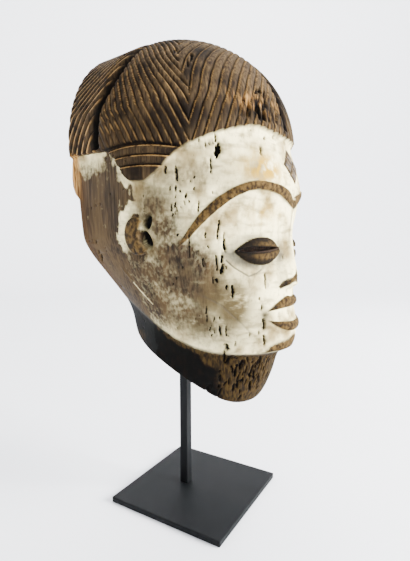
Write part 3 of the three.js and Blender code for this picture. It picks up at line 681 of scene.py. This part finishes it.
    # Painted shade in the earth: grey round the eye and in its socket, beside the mouth corners and the nose,
    # and in the crease under the eye
    shade = 1.5 * bell((eyeRing - 1.04) / 0.26, 1) * (y < -30) * np.where(z < face["eyeUp"], 1.0, 0.6)
    mouthShade = 0.5 * spot((away - 30) / 5, (z - 78) / 8) * (y < -50)
    noseShade = 0.5 * bell((away - 12 - 0.12 * (130 - z)) / 3.5, 1) * smooth(98, 106, z)
    noseShade = noseShade * (1 - smooth(120, 146, z)) * (y < -60)
    shade = shade * (0.35 + 0.65 * smooth(22, 46, away))
    fields["faceShade"] = np.clip(shade + mouthShade + noseShade + creases, 0, 1)

    # Bare carved wood of the brow, lids, lips, ears, nose and chin
    chinPatch = smooth(-0.8, 0.8, fromTable(face["chinPatch"], 1, away) - z)
    chinPatch = chinPatch * (away < 27) * (y < -60) * smooth(50, 52, jaw)
    bare = np.maximum.reduce([onBrow, 0.85 * noseLine, onLid, lips, ear, noseUnder, chinPatch])
    fields["bare"] = np.clip(bare, 0, 1)

    # Worn edge round the opening and the split stub
    toRim = rimDistance(y, z)
    radius = carving["rimRound"]
    lowered = radius - np.sqrt(np.clip(radius**2 - np.maximum(0, radius - toRim) ** 2, 0, None))
    height -= lowered
    # The edge round the opening is painted lighter: partly worn wood, partly a painted highlight on the
    # rounded edge
    fields["rim"] = bell(np.maximum(0, toRim) / 9, 1) * (1 - hair)
    stub = bell(np.maximum(0, toRim) / 4, 1) * smooth(167, 170, z) * (1 - smooth(202, 204, z))
    stub = stub * (x < -40) * (y > 30)
    fields["fresh"] = np.maximum(fields["fresh"], stub * (0.55 + 0.45 * smooth(0.3, 0.6, splinters)))
    # Painted shade: the foot of the stub, where it turns under, is painted black
    fields["charAndShade"] = np.maximum(fields["charAndShade"], stub * (1 - smooth(170, 174, z)))
    return height, fields


# How far the split stub stands out behind the rim, by height
def stubReach(z):
    profile = [(169, 0), (171.5, 2.5), (174, 5), (180, 6.8), (186, 6.2), (194, 3.6), (201, 1), (203, 0)]
    return fromTable(profile, 1, z)


# Triangles between two loops that run the same way round
def zipLoops(first, firstTurn, second, secondTurn):
    triangles = []
    i, j = 0, 0
    while i < len(first) or j < len(second):
        nextFirst = firstTurn[i + 1] if i < len(first) else math.inf
        nextSecond = secondTurn[j + 1] if j < len(second) else math.inf
        a, b = first[i % len(first)], second[j % len(second)]
        if nextFirst <= nextSecond:
            triangles.append((a, first[(i + 1) % len(first)], b))
            i += 1
        else:
            triangles.append((a, second[(j + 1) % len(second)], b))
            j += 1
    return np.array(triangles)


def gridIndex(rows, columns):
    return np.arange((rows + 1) * (columns + 1)).reshape(rows + 1, columns + 1)


def gridFaces(rows, columns):
    index = gridIndex(rows, columns)
    return np.stack([index[:-1, :-1], index[:-1, 1:], index[1:, 1:], index[1:, :-1]], axis=-1).reshape(-1, 4)


def gridEdge(rows, columns):
    index = gridIndex(rows, columns)
    return np.concatenate([index[0, :-1], index[:-1, -1], index[-1, :0:-1], index[:0:-1, 0]])


# Points of a sheet that an eye slit takes, its outline drawn sharp by moving the nearest points onto it
def markSlit(points, hand):
    half = face["eyeHalfLength"] * 0.94
    u = np.clip((hand * points[..., 0] - face["eyeAcross"]) / half, -1, 1)
    middle = face["eyeUp"] + face["slitRise"] - face["slitSlope"] * u
    offset = points[..., 2] - middle
    near = (np.abs(u) < 1) & (points[..., 1] < -30) & (np.abs(offset) < 6)
    opening = np.where(near, face["slit"] / 2 * (1 - u**2) ** 0.8 * (0.8 + 0.4 * u), 0.0)
    marked = near & (np.abs(offset) < opening)
    for sign in (-1, 1):
        gap = np.where(near, np.abs(offset - sign * opening), math.inf)
        row = np.argmin(gap, axis=0)
        for column in np.nonzero(near.any(axis=0))[0]:
            place = (row[column], column)
            points[place][2] = middle[place] + sign * opening[place]
            marked[row[column], column] = True
    return marked.reshape(-1)


# Takes the marked cells out of a sheet. Gives the cells and corners that stay, and the loop round the hole
def openSlit(cells, marked, points, centre):
    count = marked[cells].sum(axis=1)
    gone = cells[count == 4]
    corners, cut = [], [tuple(cell) for cell in gone]
    for cell in cells[count == 3]:
        k = int(np.nonzero(~marked[cell])[0][0])
        before, after, across = cell[k - 1], cell[(k + 1) % 4], cell[(k + 2) % 4]
        corners.append((before, cell[k], after))
        cut.append((before, after, across))
    directed = {(a, b) for face4 in cut for a, b in zip(face4, face4[1:] + face4[:1])}
    following = {a: b for a, b in directed if (b, a) not in directed}
    loop = [min(following, key=lambda v: points[v][0])]
    while following[loop[-1]] != loop[0]:
        loop.append(following[loop[-1]])
    turns = np.array([math.atan2(12 * (points[v][2] - centre[1]), points[v][0] - centre[0]) for v in loop])
    order = np.argsort(turns, kind="stable")
    turns = np.append(turns[order], turns[order[0]] + 2 * math.pi)
    keep = cells[count < 3]
    return keep, np.array(corners).reshape(-1, 3), [loop[k] for k in order], turns


# Triangles turned round where they run the same way as their neighbours
def agreeing(triangles, cells):
    runs = {(a, b) for cell in cells.tolist() for a, b in zip(cell, cell[1:] + cell[:1])}
    for t in triangles[:20].tolist():
        if any((a, b) in runs for a, b in zip(t, t[1:] + t[:1])):
            return triangles[:, ::-1]
    return triangles


def buildCarving():
    c = carving
    outerOpening = openingAngles(0.0)
    innerOpening = openingAngles(c["wall"])
    columns, rows = c["columns"], c["rows"]
    directions, turns = netDirections(columns, rows, outerOpening)
    base = meet(directions, 0.0)
    base[..., 1] -= relief(base[..., 0], base[..., 2]) * smooth(-10, -45, base[..., 1])
    print("stage: head form", base.shape)
    height, fields = carve(base)
    points = base + normals(base) * height[..., None]
    print("stage: carved surface")

    reach = stubReach(base[..., 2])
    seenSide = base[..., 0] < 0
    points[..., 1] += seenSide * smooth(53, 60, base[..., 1]) * reach
    split = seenSide * smooth(52.2, 54, base[..., 1] - 0.12 * (200 - base[..., 2])) * (reach > 0.4)
    fields["fresh"] = np.maximum(fields["fresh"], split)

    innerDirections, innerTurns = netDirections(c["innerColumns"], c["innerRows"], innerOpening)
    inner = meet(innerDirections, c["wall"])
    marks = np.abs(valueNoise(inner[..., 0], inner[..., 1], inner[..., 2], (13, 13, 19), 71) - 0.5)
    inner += normals(inner) * marks[..., None] * 0.8

    # The back of the wall, in rings from the outer edge to the edge of the hollow
    edge = gridEdge(rows, columns)
    edgePoints = points.reshape(-1, 3)[edge]
    innerLine = meet(netDirections(columns, rows, innerOpening)[0].reshape(-1, 3)[edge], c["wall"])
    stubAlong = (seenSide * reach).reshape(-1)[edge]
    rings = []
    for ring in range(1, c["rimRings"] + 1):
        share = ring / (c["rimRings"] + 1)
        flat = edgePoints * (1 - share) + innerLine * share
        flat[:, 1] -= stubAlong * (1 - share)
        rough = 0.5 * (turbulence(flat[:, 0], flat[:, 1], flat[:, 2], (5, 5, 5), 81) - 0.5)
        splinter = turbulence(flat[:, 0], flat[:, 1], flat[:, 2], (2, 2, 9), 83) - 0.5
        stubHere = stubAlong * (1 - smooth(0.45, 0.8, share)) * (1 + 0.2 * splinter)
        flat[:, 1] += stubHere + rough * min(1.0, 3 * share)
        rings.append(flat)
    print("stage: rim and hollow")

    outerCount = (rows + 1) * (columns + 1)
    ringIndex = [edge] + [outerCount + k * len(edge) + np.arange(len(edge)) for k in range(len(rings))]
    innerStart = outerCount + len(rings) * len(edge)
    outerCells = gridFaces(rows, columns)
    innerCells = gridFaces(c["innerRows"], c["innerColumns"])[:, ::-1] + innerStart
    walls = []
    slits = []
    for hand in (-1, 1):
        slits.append((markSlit(points, hand), markSlit(inner, hand)))
    allPoints = np.concatenate([points.reshape(-1, 3)] + rings + [inner.reshape(-1, 3)])
    for hand, (outerMark, innerMark) in zip((-1, 1), slits):
        marked = np.zeros(len(allPoints), bool)
        marked[:outerCount] = outerMark
        marked[innerStart:] = innerMark
        centre = (hand * face["eyeAcross"], face["eyeUp"] + face["slitRise"])
        outerCells, outerCorners, outerLoop, outerTurn = openSlit(outerCells, marked, allPoints, centre)
        innerCells, innerCorners, innerLoop, innerTurn = openSlit(innerCells, marked, allPoints, centre)
        wall = zipLoops(outerLoop, outerTurn, innerLoop, innerTurn)
        walls += [outerCorners, innerCorners, agreeing(wall, outerCells[marked[outerCells].any(axis=1)])]
    ringCells = []
    for a, b in zip(ringIndex[:-1], ringIndex[1:]):
        ringCells.append(np.stack([np.roll(a, -1), a, b, np.roll(b, -1)], axis=-1))
    innerEdge = gridEdge(c["innerRows"], c["innerColumns"])
    seamTurns = []
    for turn, line in ((turns, edge), (innerTurns, innerEdge)):
        turn = np.unwrap(turn.reshape(-1)[line])
        seamTurns.append(np.append(turn, turn[0] + 2 * math.pi))
    seam = zipLoops(ringIndex[-1], seamTurns[0], innerEdge + innerStart, seamTurns[1])[:, ::-1]

    cells = np.concatenate([outerCells] + ringCells + [innerCells])
    triangles = np.concatenate([seam] + walls)
    hollowFaces = np.zeros(len(cells) + len(triangles), np.int32)
    hollowFaces[len(cells) - len(innerCells) :] = 1
    mesh = makeMesh("carving", allPoints, cells, triangles)
    mesh.polygons.foreach_set("material_index", hollowFaces)
    for name, values in fields.items():
        full = np.zeros(len(allPoints), np.float32)
        full[:outerCount] = np.asarray(values, np.float32).reshape(-1)
        for k in range(1, len(ringIndex)):
            keep = 0.6 if name == "fresh" else 0.0
            full[ringIndex[k]] = full[edge] * keep if name != "rim" else 1.0
        if name == "white":
            full[outerCount:] = -12
        layer = mesh.attributes.new(name, "FLOAT", "POINT")
        layer.data.foreach_set("value", full)
    print("stage: closed skin,", len(allPoints), "points")
    return mesh


def makeMesh(name, points, cells, triangles):
    mesh = bpy.data.meshes.new(name)
    placed = (points + [0, 0, carving["lift"]]) / 1000
    corners = np.concatenate([cells.reshape(-1), triangles.reshape(-1)]).astype(np.int32)
    counts = np.concatenate([np.full(len(cells), 4), np.full(len(triangles), 3)])
    starts = np.concatenate([[0], np.cumsum(counts)[:-1]]).astype(np.int32)
    mesh.vertices.add(len(placed))
    mesh.vertices.foreach_set("co", placed.astype(np.float32).reshape(-1))
    mesh.loops.add(len(corners))
    mesh.loops.foreach_set("vertex_index", corners)
    mesh.polygons.add(len(counts))
    mesh.polygons.foreach_set("loop_start", starts)
    mesh.update(calc_edges=True)
    return mesh


def placeObject(name, mesh):
    thing = bpy.data.objects.new(name, mesh)
    bpy.context.scene.collection.objects.link(thing)
    return thing


def plainMesh(thing):
    evaluated = thing.evaluated_get(bpy.context.evaluated_depsgraph_get())
    mesh = bpy.data.meshes.new_from_object(evaluated)
    thing.modifiers.clear()
    thing.data = mesh
    return mesh


# Adds a node and gives back one of its sockets; an input takes a value or another node's socket
def addNode(tree, kind, inputs=None, output=0, **settings):
    node = tree.nodes.new(kind)
    for key, value in settings.items():
        setattr(node, key, value)
    for key, value in (inputs or {}).items():
        if isinstance(value, bpy.types.NodeSocket):
            tree.links.new(value, node.inputs[key])
        else:
            node.inputs[key].default_value = value
    return node.outputs[output] if node.outputs else node


def compute(tree, operation, *values, **settings):
    return addNode(tree, "ShaderNodeMath", dict(enumerate(values)), operation=operation, **settings)


def remap(tree, value, low, high, most=1.0, kind="SMOOTHSTEP"):
    return addNode(tree, "ShaderNodeMapRange", {0: value, 1: low, 2: high, 4: most}, interpolation_type=kind)


def addBump(tree, shader, pattern, strength, distance):
    bump = addNode(tree, "ShaderNodeBump", {"Strength": strength, "Distance": distance, "Height": pattern})
    tree.links.new(bump, shader.inputs["Normal"])


def coat(name):
    return linear(paint[name])


def startMaterial(name, shaderSettings):
    material = bpy.data.materials.new(name)
    material.use_nodes = True
    tree = material.node_tree
    tree.nodes.clear()
    surface = addNode(tree, "ShaderNodeBsdfPrincipled", shaderSettings)
    addNode(tree, "ShaderNodeOutputMaterial", {"Surface": surface})
    return material, tree, surface.node


# Noise patterns by the real size of their marks: across and along the grain in millimetres, and detail
def addPatterns(tree, sizes):
    place = addNode(tree, "ShaderNodeTexCoord", output="Object")
    patterns = {}
    for name, (across, along, detail) in sizes.items():
        stretch = (1000 / across, 1000 / across, 1000 / along)
        stretched = addNode(tree, "ShaderNodeMapping", {0: place, 3: stretch})
        patterns[name] = addNode(tree, "ShaderNodeTexNoise", {0: stretched, "Scale": 1.0, "Detail": detail})
    return patterns


# Lays colours over one another, each by its share
def addLayers(tree, color, layers):
    for over, share in layers:
        color = addNode(tree, "ShaderNodeMix", {0: share, 6: color, 7: over}, 2, data_type="RGBA")
    return color


# Old carved wood. The earth on the face is matt and chalky, the bare wood has a dull handling sheen
def carvedWood():
    dull = {"IOR": 1.45, "Specular IOR Level": 0.08}
    material, tree, shader = startMaterial("carved wood with white earth", dull)
    marks = {}
    for name in (
        "hair", "groove", "ridgeHighlight", "darkAndShade", "charAndShade", "fresh", "pitShade", "collar", "jaw",
        "white", "thin", "stain", "faceShade", "bare", "rim", "ochre", "haze",
    ):
        marks[name] = addNode(tree, "ShaderNodeAttribute", output="Fac", attribute_name=name)
    sizes = {
        "grain": (1.6, 26.0, 3.0),
        "figure": (14.0, 60.0, 2.0),
        "flake": (5.0, 8.0, 4.0),
        "speck": (1.3, 2.6, 3.0),
        "cloud": (22.0, 26.0, 3.0),
        "crust": (2.6, 3.4, 5.0),
        "wash": (13.0, 5.0, 5.0),
    }
    patterns = addPatterns(tree, sizes)
    ranges = {
        "grainLight": ("grain", 0.3, 0.7),
        "figureLight": ("figure", 0.45, 0.7),
        "flakeDark": ("flake", 0.5, 0.72),
        "flakeLight": ("flake", 0.3, 0.55),
        "cloudDark": ("cloud", 0.42, 0.7),
        "specks": ("speck", 0.68, 0.76),
        "crustBare": ("crust", 0.36, 0.66),
        "washDark": ("wash", 0.48, 0.7),
        "washLight": ("wash", 0.14, 0.48),
    }
    steps = {}
    for name, (source, low, high) in ranges.items():
        steps[name] = remap(tree, patterns[source], low, high)
    products = {
        "figureShare": (steps["figureLight"], 0.5),
        "rimShare": (marks["rim"], 0.6),
        "stainShare": (marks["stain"], steps["flakeLight"]),
        "hazeShare": (marks["haze"], steps["washLight"]),
        "earthShadeShare": (marks["faceShade"], 0.85),
        "flakeShare": (steps["flakeDark"], 0.5),
        "washShare": (steps["washDark"], 0.55),
        "speckShare": (steps["specks"], 0.6),
        "ridgeHighlightShare": (marks["ridgeHighlight"], steps["flakeLight"]),
        "jawShadeShare": (marks["jaw"], 0.5),
        "darkShare": (marks["darkAndShade"], 0.75),
        "shadeShare": (marks["darkAndShade"], 0.93),
    }
    shares = {name: compute(tree, "MULTIPLY", *pair) for name, pair in products.items()}

    wood = addLayers(tree, coat("woodDark"), [
        (coat("woodLight"), steps["grainLight"]),
        (coat("woodFigure"), shares["figureShare"]),
        (coat("woodRim"), shares["rimShare"]),
    ])
    earth = addLayers(tree, coat("earth"), [
        (coat("earthCloud"), steps["cloudDark"]),
        (coat("earthFlake"), shares["flakeShare"]),
        (coat("earthWash"), shares["washShare"]),
        (coat("earthHaze"), shares["hazeShare"]),
        (coat("earthStain"), shares["stainShare"]),
        # painted shade round the eyes, nose and mouth
        (coat("earthShade"), shares["earthShadeShare"]),
    ])

    # The earth ends in a ragged edge, is rubbed thin in places and has small flecks worn through
    reach = compute(tree, "MULTIPLY_ADD", patterns["flake"], 14.0, -7.0)
    reach = compute(tree, "ADD", reach, marks["white"])
    edge = remap(tree, reach, -0.8, 1.8)
    rubbed = compute(tree, "MULTIPLY_ADD", steps["crustBare"], 0.5, 0.72)
    rubbed = compute(tree, "MULTIPLY", rubbed, marks["thin"])
    left = compute(tree, "SUBTRACT", 1.0, rubbed, use_clamp=True)
    left = compute(tree, "POWER", left, 2.0)
    left = compute(tree, "MULTIPLY", left, edge)
    whole = compute(tree, "SUBTRACT", 1.0, shares["speckShare"])
    cover = compute(tree, "MULTIPLY", left, whole)

    # Bare wood, with painted shade on the lids, at the ends of the lips and under the nose
    bare = addLayers(tree, coat("bareDark"), [
        (coat("bareLight"), steps["crustBare"]),
        (coat("bareShade"), shares["shadeShare"]),
    ])
    patchy = compute(tree, "MULTIPLY_ADD", patterns["flake"], 0.9, marks["ochre"])
    amberShare = remap(tree, patchy, 0.75, 1.05)
    amber = addLayers(tree, coat("amberDark"), [(coat("amberLight"), steps["grainLight"])])
    collar = addLayers(tree, coat("soot"), [
        (coat("sootBrown"), steps["flakeDark"]),
        (amber, amberShare),
        # painted shade along the jaw edge
        (coat("jawEdgeShade"), shares["jawShadeShare"]),
    ])
    # Hair, with painted shade in the grooves and the crease and painted highlights along the strands
    hair = addLayers(tree, coat("hairDark"), [
        (coat("hairLight"), steps["grainLight"]),
        (coat("hairShade"), steps["cloudDark"]),
        (coat("hairShade"), shares["darkShare"]),
        (coat("hairHighlight"), shares["ridgeHighlightShare"]),
        (coat("grooveShade"), marks["groove"]),
    ])
    fresh = addLayers(tree, coat("freshDark"), [(coat("freshLight"), steps["grainLight"])])
    color = addLayers(tree, wood, [
        (earth, cover),
        (bare, marks["bare"]),
        (collar, marks["collar"]),
        (hair, marks["hair"]),
        # charred wood, and painted shade under the stub
        (coat("charAndShade"), marks["charAndShade"]),
        (fresh, marks["fresh"]),
        # painted shade in hollows, slits and cracks
        (coat("pitShade"), marks["pitShade"]),
    ])
    tree.links.new(color, shader.inputs["Base Color"])

    chalk = addNode(tree, "ShaderNodeMapRange", {0: cover, 3: 0.55, 4: 0.92})
    tree.links.new(chalk, shader.inputs["Roughness"])
    surface = compute(tree, "MULTIPLY_ADD", patterns["grain"], 0.6, patterns["crust"])
    addBump(tree, shader, surface, 0.4, 0.0005)
    return material


# A plainer material: one colour with others over it, each by a noise pattern between two limits, and a bump
def mixedMaterial(name, shine, sizes, ground, layers, bump):
    surface = dict(zip(("Roughness", "IOR", "Specular IOR Level"), shine))
    material, tree, shader = startMaterial(name, surface)
    patterns = addPatterns(tree, sizes)
    over = []
    for color, source, low, high, most in layers:
        over.append((coat(color), remap(tree, patterns[source], low, high, most, "LINEAR")))
    tree.links.new(addLayers(tree, coat(ground), over), shader.inputs["Base Color"])
    source, strength, distance = bump
    addBump(tree, shader, patterns[source], strength, distance)
    return material


# Brown wood of the raised marks on the forehead, rubbed lighter in patches
def markWood():
    sizes = {"grain": (1.6, 26.0, 3.0), "flake": (2.0, 3.0, 3.0)}
    layers = [("bareLight", "flake", 0.35, 0.65, 1.0)]
    return mixedMaterial(
        "rubbed brown wood", (0.5, 1.45, 0.2), sizes, "bareDark", layers, ("grain", 0.3, 0.0004)
    )


# Raw adzed wood of the hollow, dry and brown, darkened by handling
def hollowWood():
    sizes = {"grain": (1.7, 25.0, 3.0), "stroke": (12.0, 18.0, 2.0)}
    layers = [("hollowLight", "grain", 0.3, 0.7, 1.0), ("hollowDark", "stroke", 0.5, 0.75, 0.6)]
    return mixedMaterial(
        "adzed wood of the hollow", (0.75, 1.45, 0.15), sizes, "hollowDark", layers, ("grain", 0.4, 0.0006)
    )


# Steel under a satin charcoal paint: dark, cool, with soft broad highlights
def paintedSteel():
    sizes = {"patch": (22.0, 22.0, 3.0), "spray": (0.4, 0.4, 1.0)}
    layers = [("steelLight", "patch", 0.35, 0.65, 1.0)]
    return mixedMaterial(
        "satin painted steel", (0.6, 1.5, 0.1), sizes, "steelDark", layers, ("spray", 0.05, 0.0001)
    )


skin = placeObject("maskCarving", buildCarving())
woodMaterial = carvedWood()
skin.data.materials.append(woodMaterial)
skin.data.materials.append(hollowWood())
fewer = skin.modifiers.new("fewer faces", "DECIMATE")
fewer.ratio = carving["triangles"] / (2 * len(skin.data.polygons))
plainMesh(skin)
skin.data.shade_smooth()
print("stage: mask,", len(skin.data.polygons), "faces")
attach(skin, "root")
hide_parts("mask")


# Four raised lozenges on the forehead: one pad set out four times and laid on the carved surface
marking = {
    "height": 193.0 + carving["lift"],
    "spread": 6.9,
    "half": 6.2,
    "rise": 1.7,
    "seat": 1.5,  # how deep the pads are let into the forehead
}


def forehead():
    tree = bpy.data.node_groups.new("forehead lozenges", "GeometryNodeTree")
    for name in ("Spread", "Half", "Rise", "Seat", "Height"):
        socket = tree.interface.new_socket(name, in_out="INPUT", socket_type="NodeSocketFloat")
        socket.subtype = "DISTANCE"
    tree.interface.new_socket("Carving", in_out="INPUT", socket_type="NodeSocketObject")
    tree.interface.new_socket("Material", in_out="INPUT", socket_type="NodeSocketMaterial")
    tree.interface.new_socket("Geometry", in_out="OUTPUT", socket_type="NodeSocketGeometry")
    given = addNode(tree, "NodeGroupInput").node.outputs
    pad = addNode(tree, "GeometryNodeMeshCube", {0: (2.0, 2.0, 2.0), 1: 9, 2: 2, 3: 9})
    local = addNode(tree, "GeometryNodeInputPosition")
    stored = {0: pad, "Name": "local", "Value": local}
    pad = addNode(tree, "GeometryNodeStoreNamedAttribute", stored, data_type="FLOAT_VECTOR", domain="POINT")
    corner = compute(tree, "MULTIPLY", given["Half"], 0.7071)
    size = addNode(tree, "ShaderNodeCombineXYZ", {0: corner, 1: corner, 2: corner})
    places = addNode(tree, "GeometryNodeMeshCircle", {"Vertices": 4, "Radius": given["Spread"]})
    upright = {0: places, "Rotation": (math.pi / 2, 0, 0)}
    places = addNode(tree, "GeometryNodeTransform", upright)
    turned = {"Points": places, "Instance": pad, "Rotation": (0, math.pi / 4, 0), "Scale": size}
    pads = addNode(tree, "GeometryNodeInstanceOnPoints", turned)
    pads = addNode(tree, "GeometryNodeRealizeInstances", {0: pads})

    # Each point goes to the carved surface in front of or behind it, the outer face out and the seat in
    position = addNode(tree, "GeometryNodeInputPosition")
    parts = addNode(tree, "ShaderNodeSeparateXYZ", {0: position}).node.outputs
    raised = compute(tree, "ADD", parts[2], given["Height"])
    start = addNode(tree, "ShaderNodeCombineXYZ", {0: parts[0], 1: -0.3, 2: raised})
    chosen = {0: given["Carving"]}
    target = addNode(tree, "GeometryNodeObjectInfo", chosen, "Geometry", transform_space="ORIGINAL")
    cast = {"Target Geometry": target, "Source Position": start}
    cast.update({"Ray Direction": (0, 1, 0), "Ray Length": 0.6})
    landed = addNode(tree, "GeometryNodeRaycast", cast, "Hit Position")
    own = addNode(tree, "GeometryNodeInputNamedAttribute", {"Name": "local"}, data_type="FLOAT_VECTOR")
    ownParts = addNode(tree, "ShaderNodeSeparateXYZ", {0: own}).node.outputs
    flatX = compute(tree, "ABSOLUTE", ownParts[0])
    flatZ = compute(tree, "ABSOLUTE", ownParts[2])
    outwards = compute(tree, "MAXIMUM", flatX, flatZ)
    rounded = compute(tree, "POWER", outwards, 3.0)
    share = compute(tree, "MULTIPLY_ADD", rounded, -0.6, 1.0)
    rise = compute(tree, "MULTIPLY", share, given["Rise"])
    sink = compute(tree, "MULTIPLY", given["Seat"], -1.0)
    isFront = addNode(tree, "FunctionNodeCompare", {0: ownParts[1], 1: 0.0}, operation="LESS_THAN")
    lift = addNode(tree, "GeometryNodeSwitch", {0: isFront, 1: sink, 2: rise}, input_type="FLOAT")
    forward = compute(tree, "MULTIPLY", lift, -1.0)
    push = addNode(tree, "ShaderNodeCombineXYZ", {1: forward})
    laid = {0: pads, "Position": landed, "Offset": push}
    pads = addNode(tree, "GeometryNodeSetPosition", laid)
    finished = addNode(tree, "GeometryNodeSetMaterial", {0: pads, "Material": given["Material"]})
    addNode(tree, "NodeGroupOutput", {0: finished})
    return tree


marks = placeObject("foreheadMarks", bpy.data.meshes.new("foreheadMarks"))
layout = marks.modifiers.new("lozenges", "NODES")
layout.node_group = forehead()
choices = {"Carving": skin, "Material": markWood()}
for key in ("spread", "half", "rise", "seat", "height"):
    choices[key.capitalize()] = marking[key] / 1000
for item in layout.node_group.interface.items_tree:
    if item.in_out == "INPUT":
        layout[item.identifier] = choices[item.name]
plainMesh(marks)
marks.data.shade_smooth()
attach(marks, "root")
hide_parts("mask")
print("stage: forehead marks,", len(marks.data.polygons), "faces")


# Bars and plates with broken edges
def brokenBox(name, low, high, edge):
    shape = bmesh.new()
    bmesh.ops.create_cube(shape, size=1.0)
    for vertex in shape.verts:
        vertex.co = [low[k] + (vertex.co[k] + 0.5) * (high[k] - low[k]) for k in range(3)]
    bmesh.ops.bevel(shape, geom=shape.edges, offset=edge, segments=2, profile=0.5, affect="EDGES")
    mesh = bpy.data.meshes.new(name)
    shape.to_mesh(mesh)
    shape.free()
    return placeObject(name, mesh)


steel = paintedSteel()
rodBox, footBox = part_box("stand_rod"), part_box("stand_foot")
rodLow = (rodBox[0][0], rodBox[0][1], footBox[1][2])
pieces = {
    "stand_rod": brokenBox("standRod", rodLow, rodBox[1], stand["rodRound"] / 1000),
    "stand_foot": brokenBox("standFoot", footBox[0], footBox[1], stand["footBevel"] / 1000),
}
for node, piece in pieces.items():
    piece.data.materials.append(steel)
    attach(piece, "root")
    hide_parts(node)
print("stage: stand")


# A round pale sweep: floor, curve and wall in one
def makeBackdrop():
    floor, curve, sides = 1.6, 0.9, 96
    profile = [(0.0, 0.0), (1.2, 0.0), (floor, 0.0)]
    for a in np.linspace(0.1, math.pi / 2, 16):
        profile.append((floor + curve * math.sin(a), curve - curve * math.cos(a)))
    profile += [(floor + curve, 1.6), (floor + curve, 2.6)]
    turns = np.linspace(0, 2 * math.pi, sides + 1)[:-1]
    points = [(r * math.cos(a), r * math.sin(a), z) for r, z in profile for a in turns]
    cells = []
    for i in range(len(profile) - 1):
        for j in range(sides):
            k = (j + 1) % sides
            low, high = i * sides, (i + 1) * sides
            cells.append((low + j, low + k, high + k, high + j))
    mesh = bpy.data.meshes.new("backdrop")
    mesh.from_pydata(points, [], cells)
    mesh.shade_smooth()
    return placeObject("backdrop", mesh)


backdrop = makeBackdrop()
paper, paperTree, paperShader = startMaterial("matt backdrop paper", {"Roughness": 0.9})
paperShader.inputs["Base Color"].default_value = linear(studio["backdropColor"])
backdrop.data.materials.append(paper)

lights = [
    # name, place, aimed at, width, watts
    ("key", (0.5, -1.6, 0.75), (0, 0, 0.27), 0.8, 210),
    ("side", (-1.7, -0.3, 1.3), (0, 0, 0.25), 1.2, 14),
    ("wall", (0.9, 0.3, 2.2), (2.0, 1.3, 0.3), 1.6, 110),
    ("top", (0.0, 0.1, 2.3), (0, 0, 0.2), 1.6, 16),
]
for name, where, target, width, watts in lights:
    lamp = bpy.data.lights.new(name, "AREA")
    lamp.shape = "SQUARE"
    lamp.size = width
    lamp.energy = watts
    thing = placeObject(name, lamp)
    thing.location = where
    thing.rotation_euler = (Vector(target) - Vector(where)).to_track_quat("-Z", "Y").to_euler()
world = bpy.data.worlds.new("room")
world.use_nodes = True
world.node_tree.nodes["Background"].inputs[0].default_value = linear("#eef1f6")
world.node_tree.nodes["Background"].inputs[1].default_value = 0.7
bpy.context.scene.world = world

camera = placeObject("camera", bpy.data.cameras.new("camera"))
camera.data.lens = studio["cameraLens"]
camera.location = studio["cameraPlace"]
turn = Euler((math.radians(90 - studio["cameraDown"]), 0, -math.radians(studio["cameraAzimuth"]))).to_matrix()
camera.rotation_euler = (turn @ Matrix.Rotation(math.radians(studio["cameraRoll"]), 3, "Z")).to_euler()
bpy.context.scene.camera = camera
print("stage: studio")
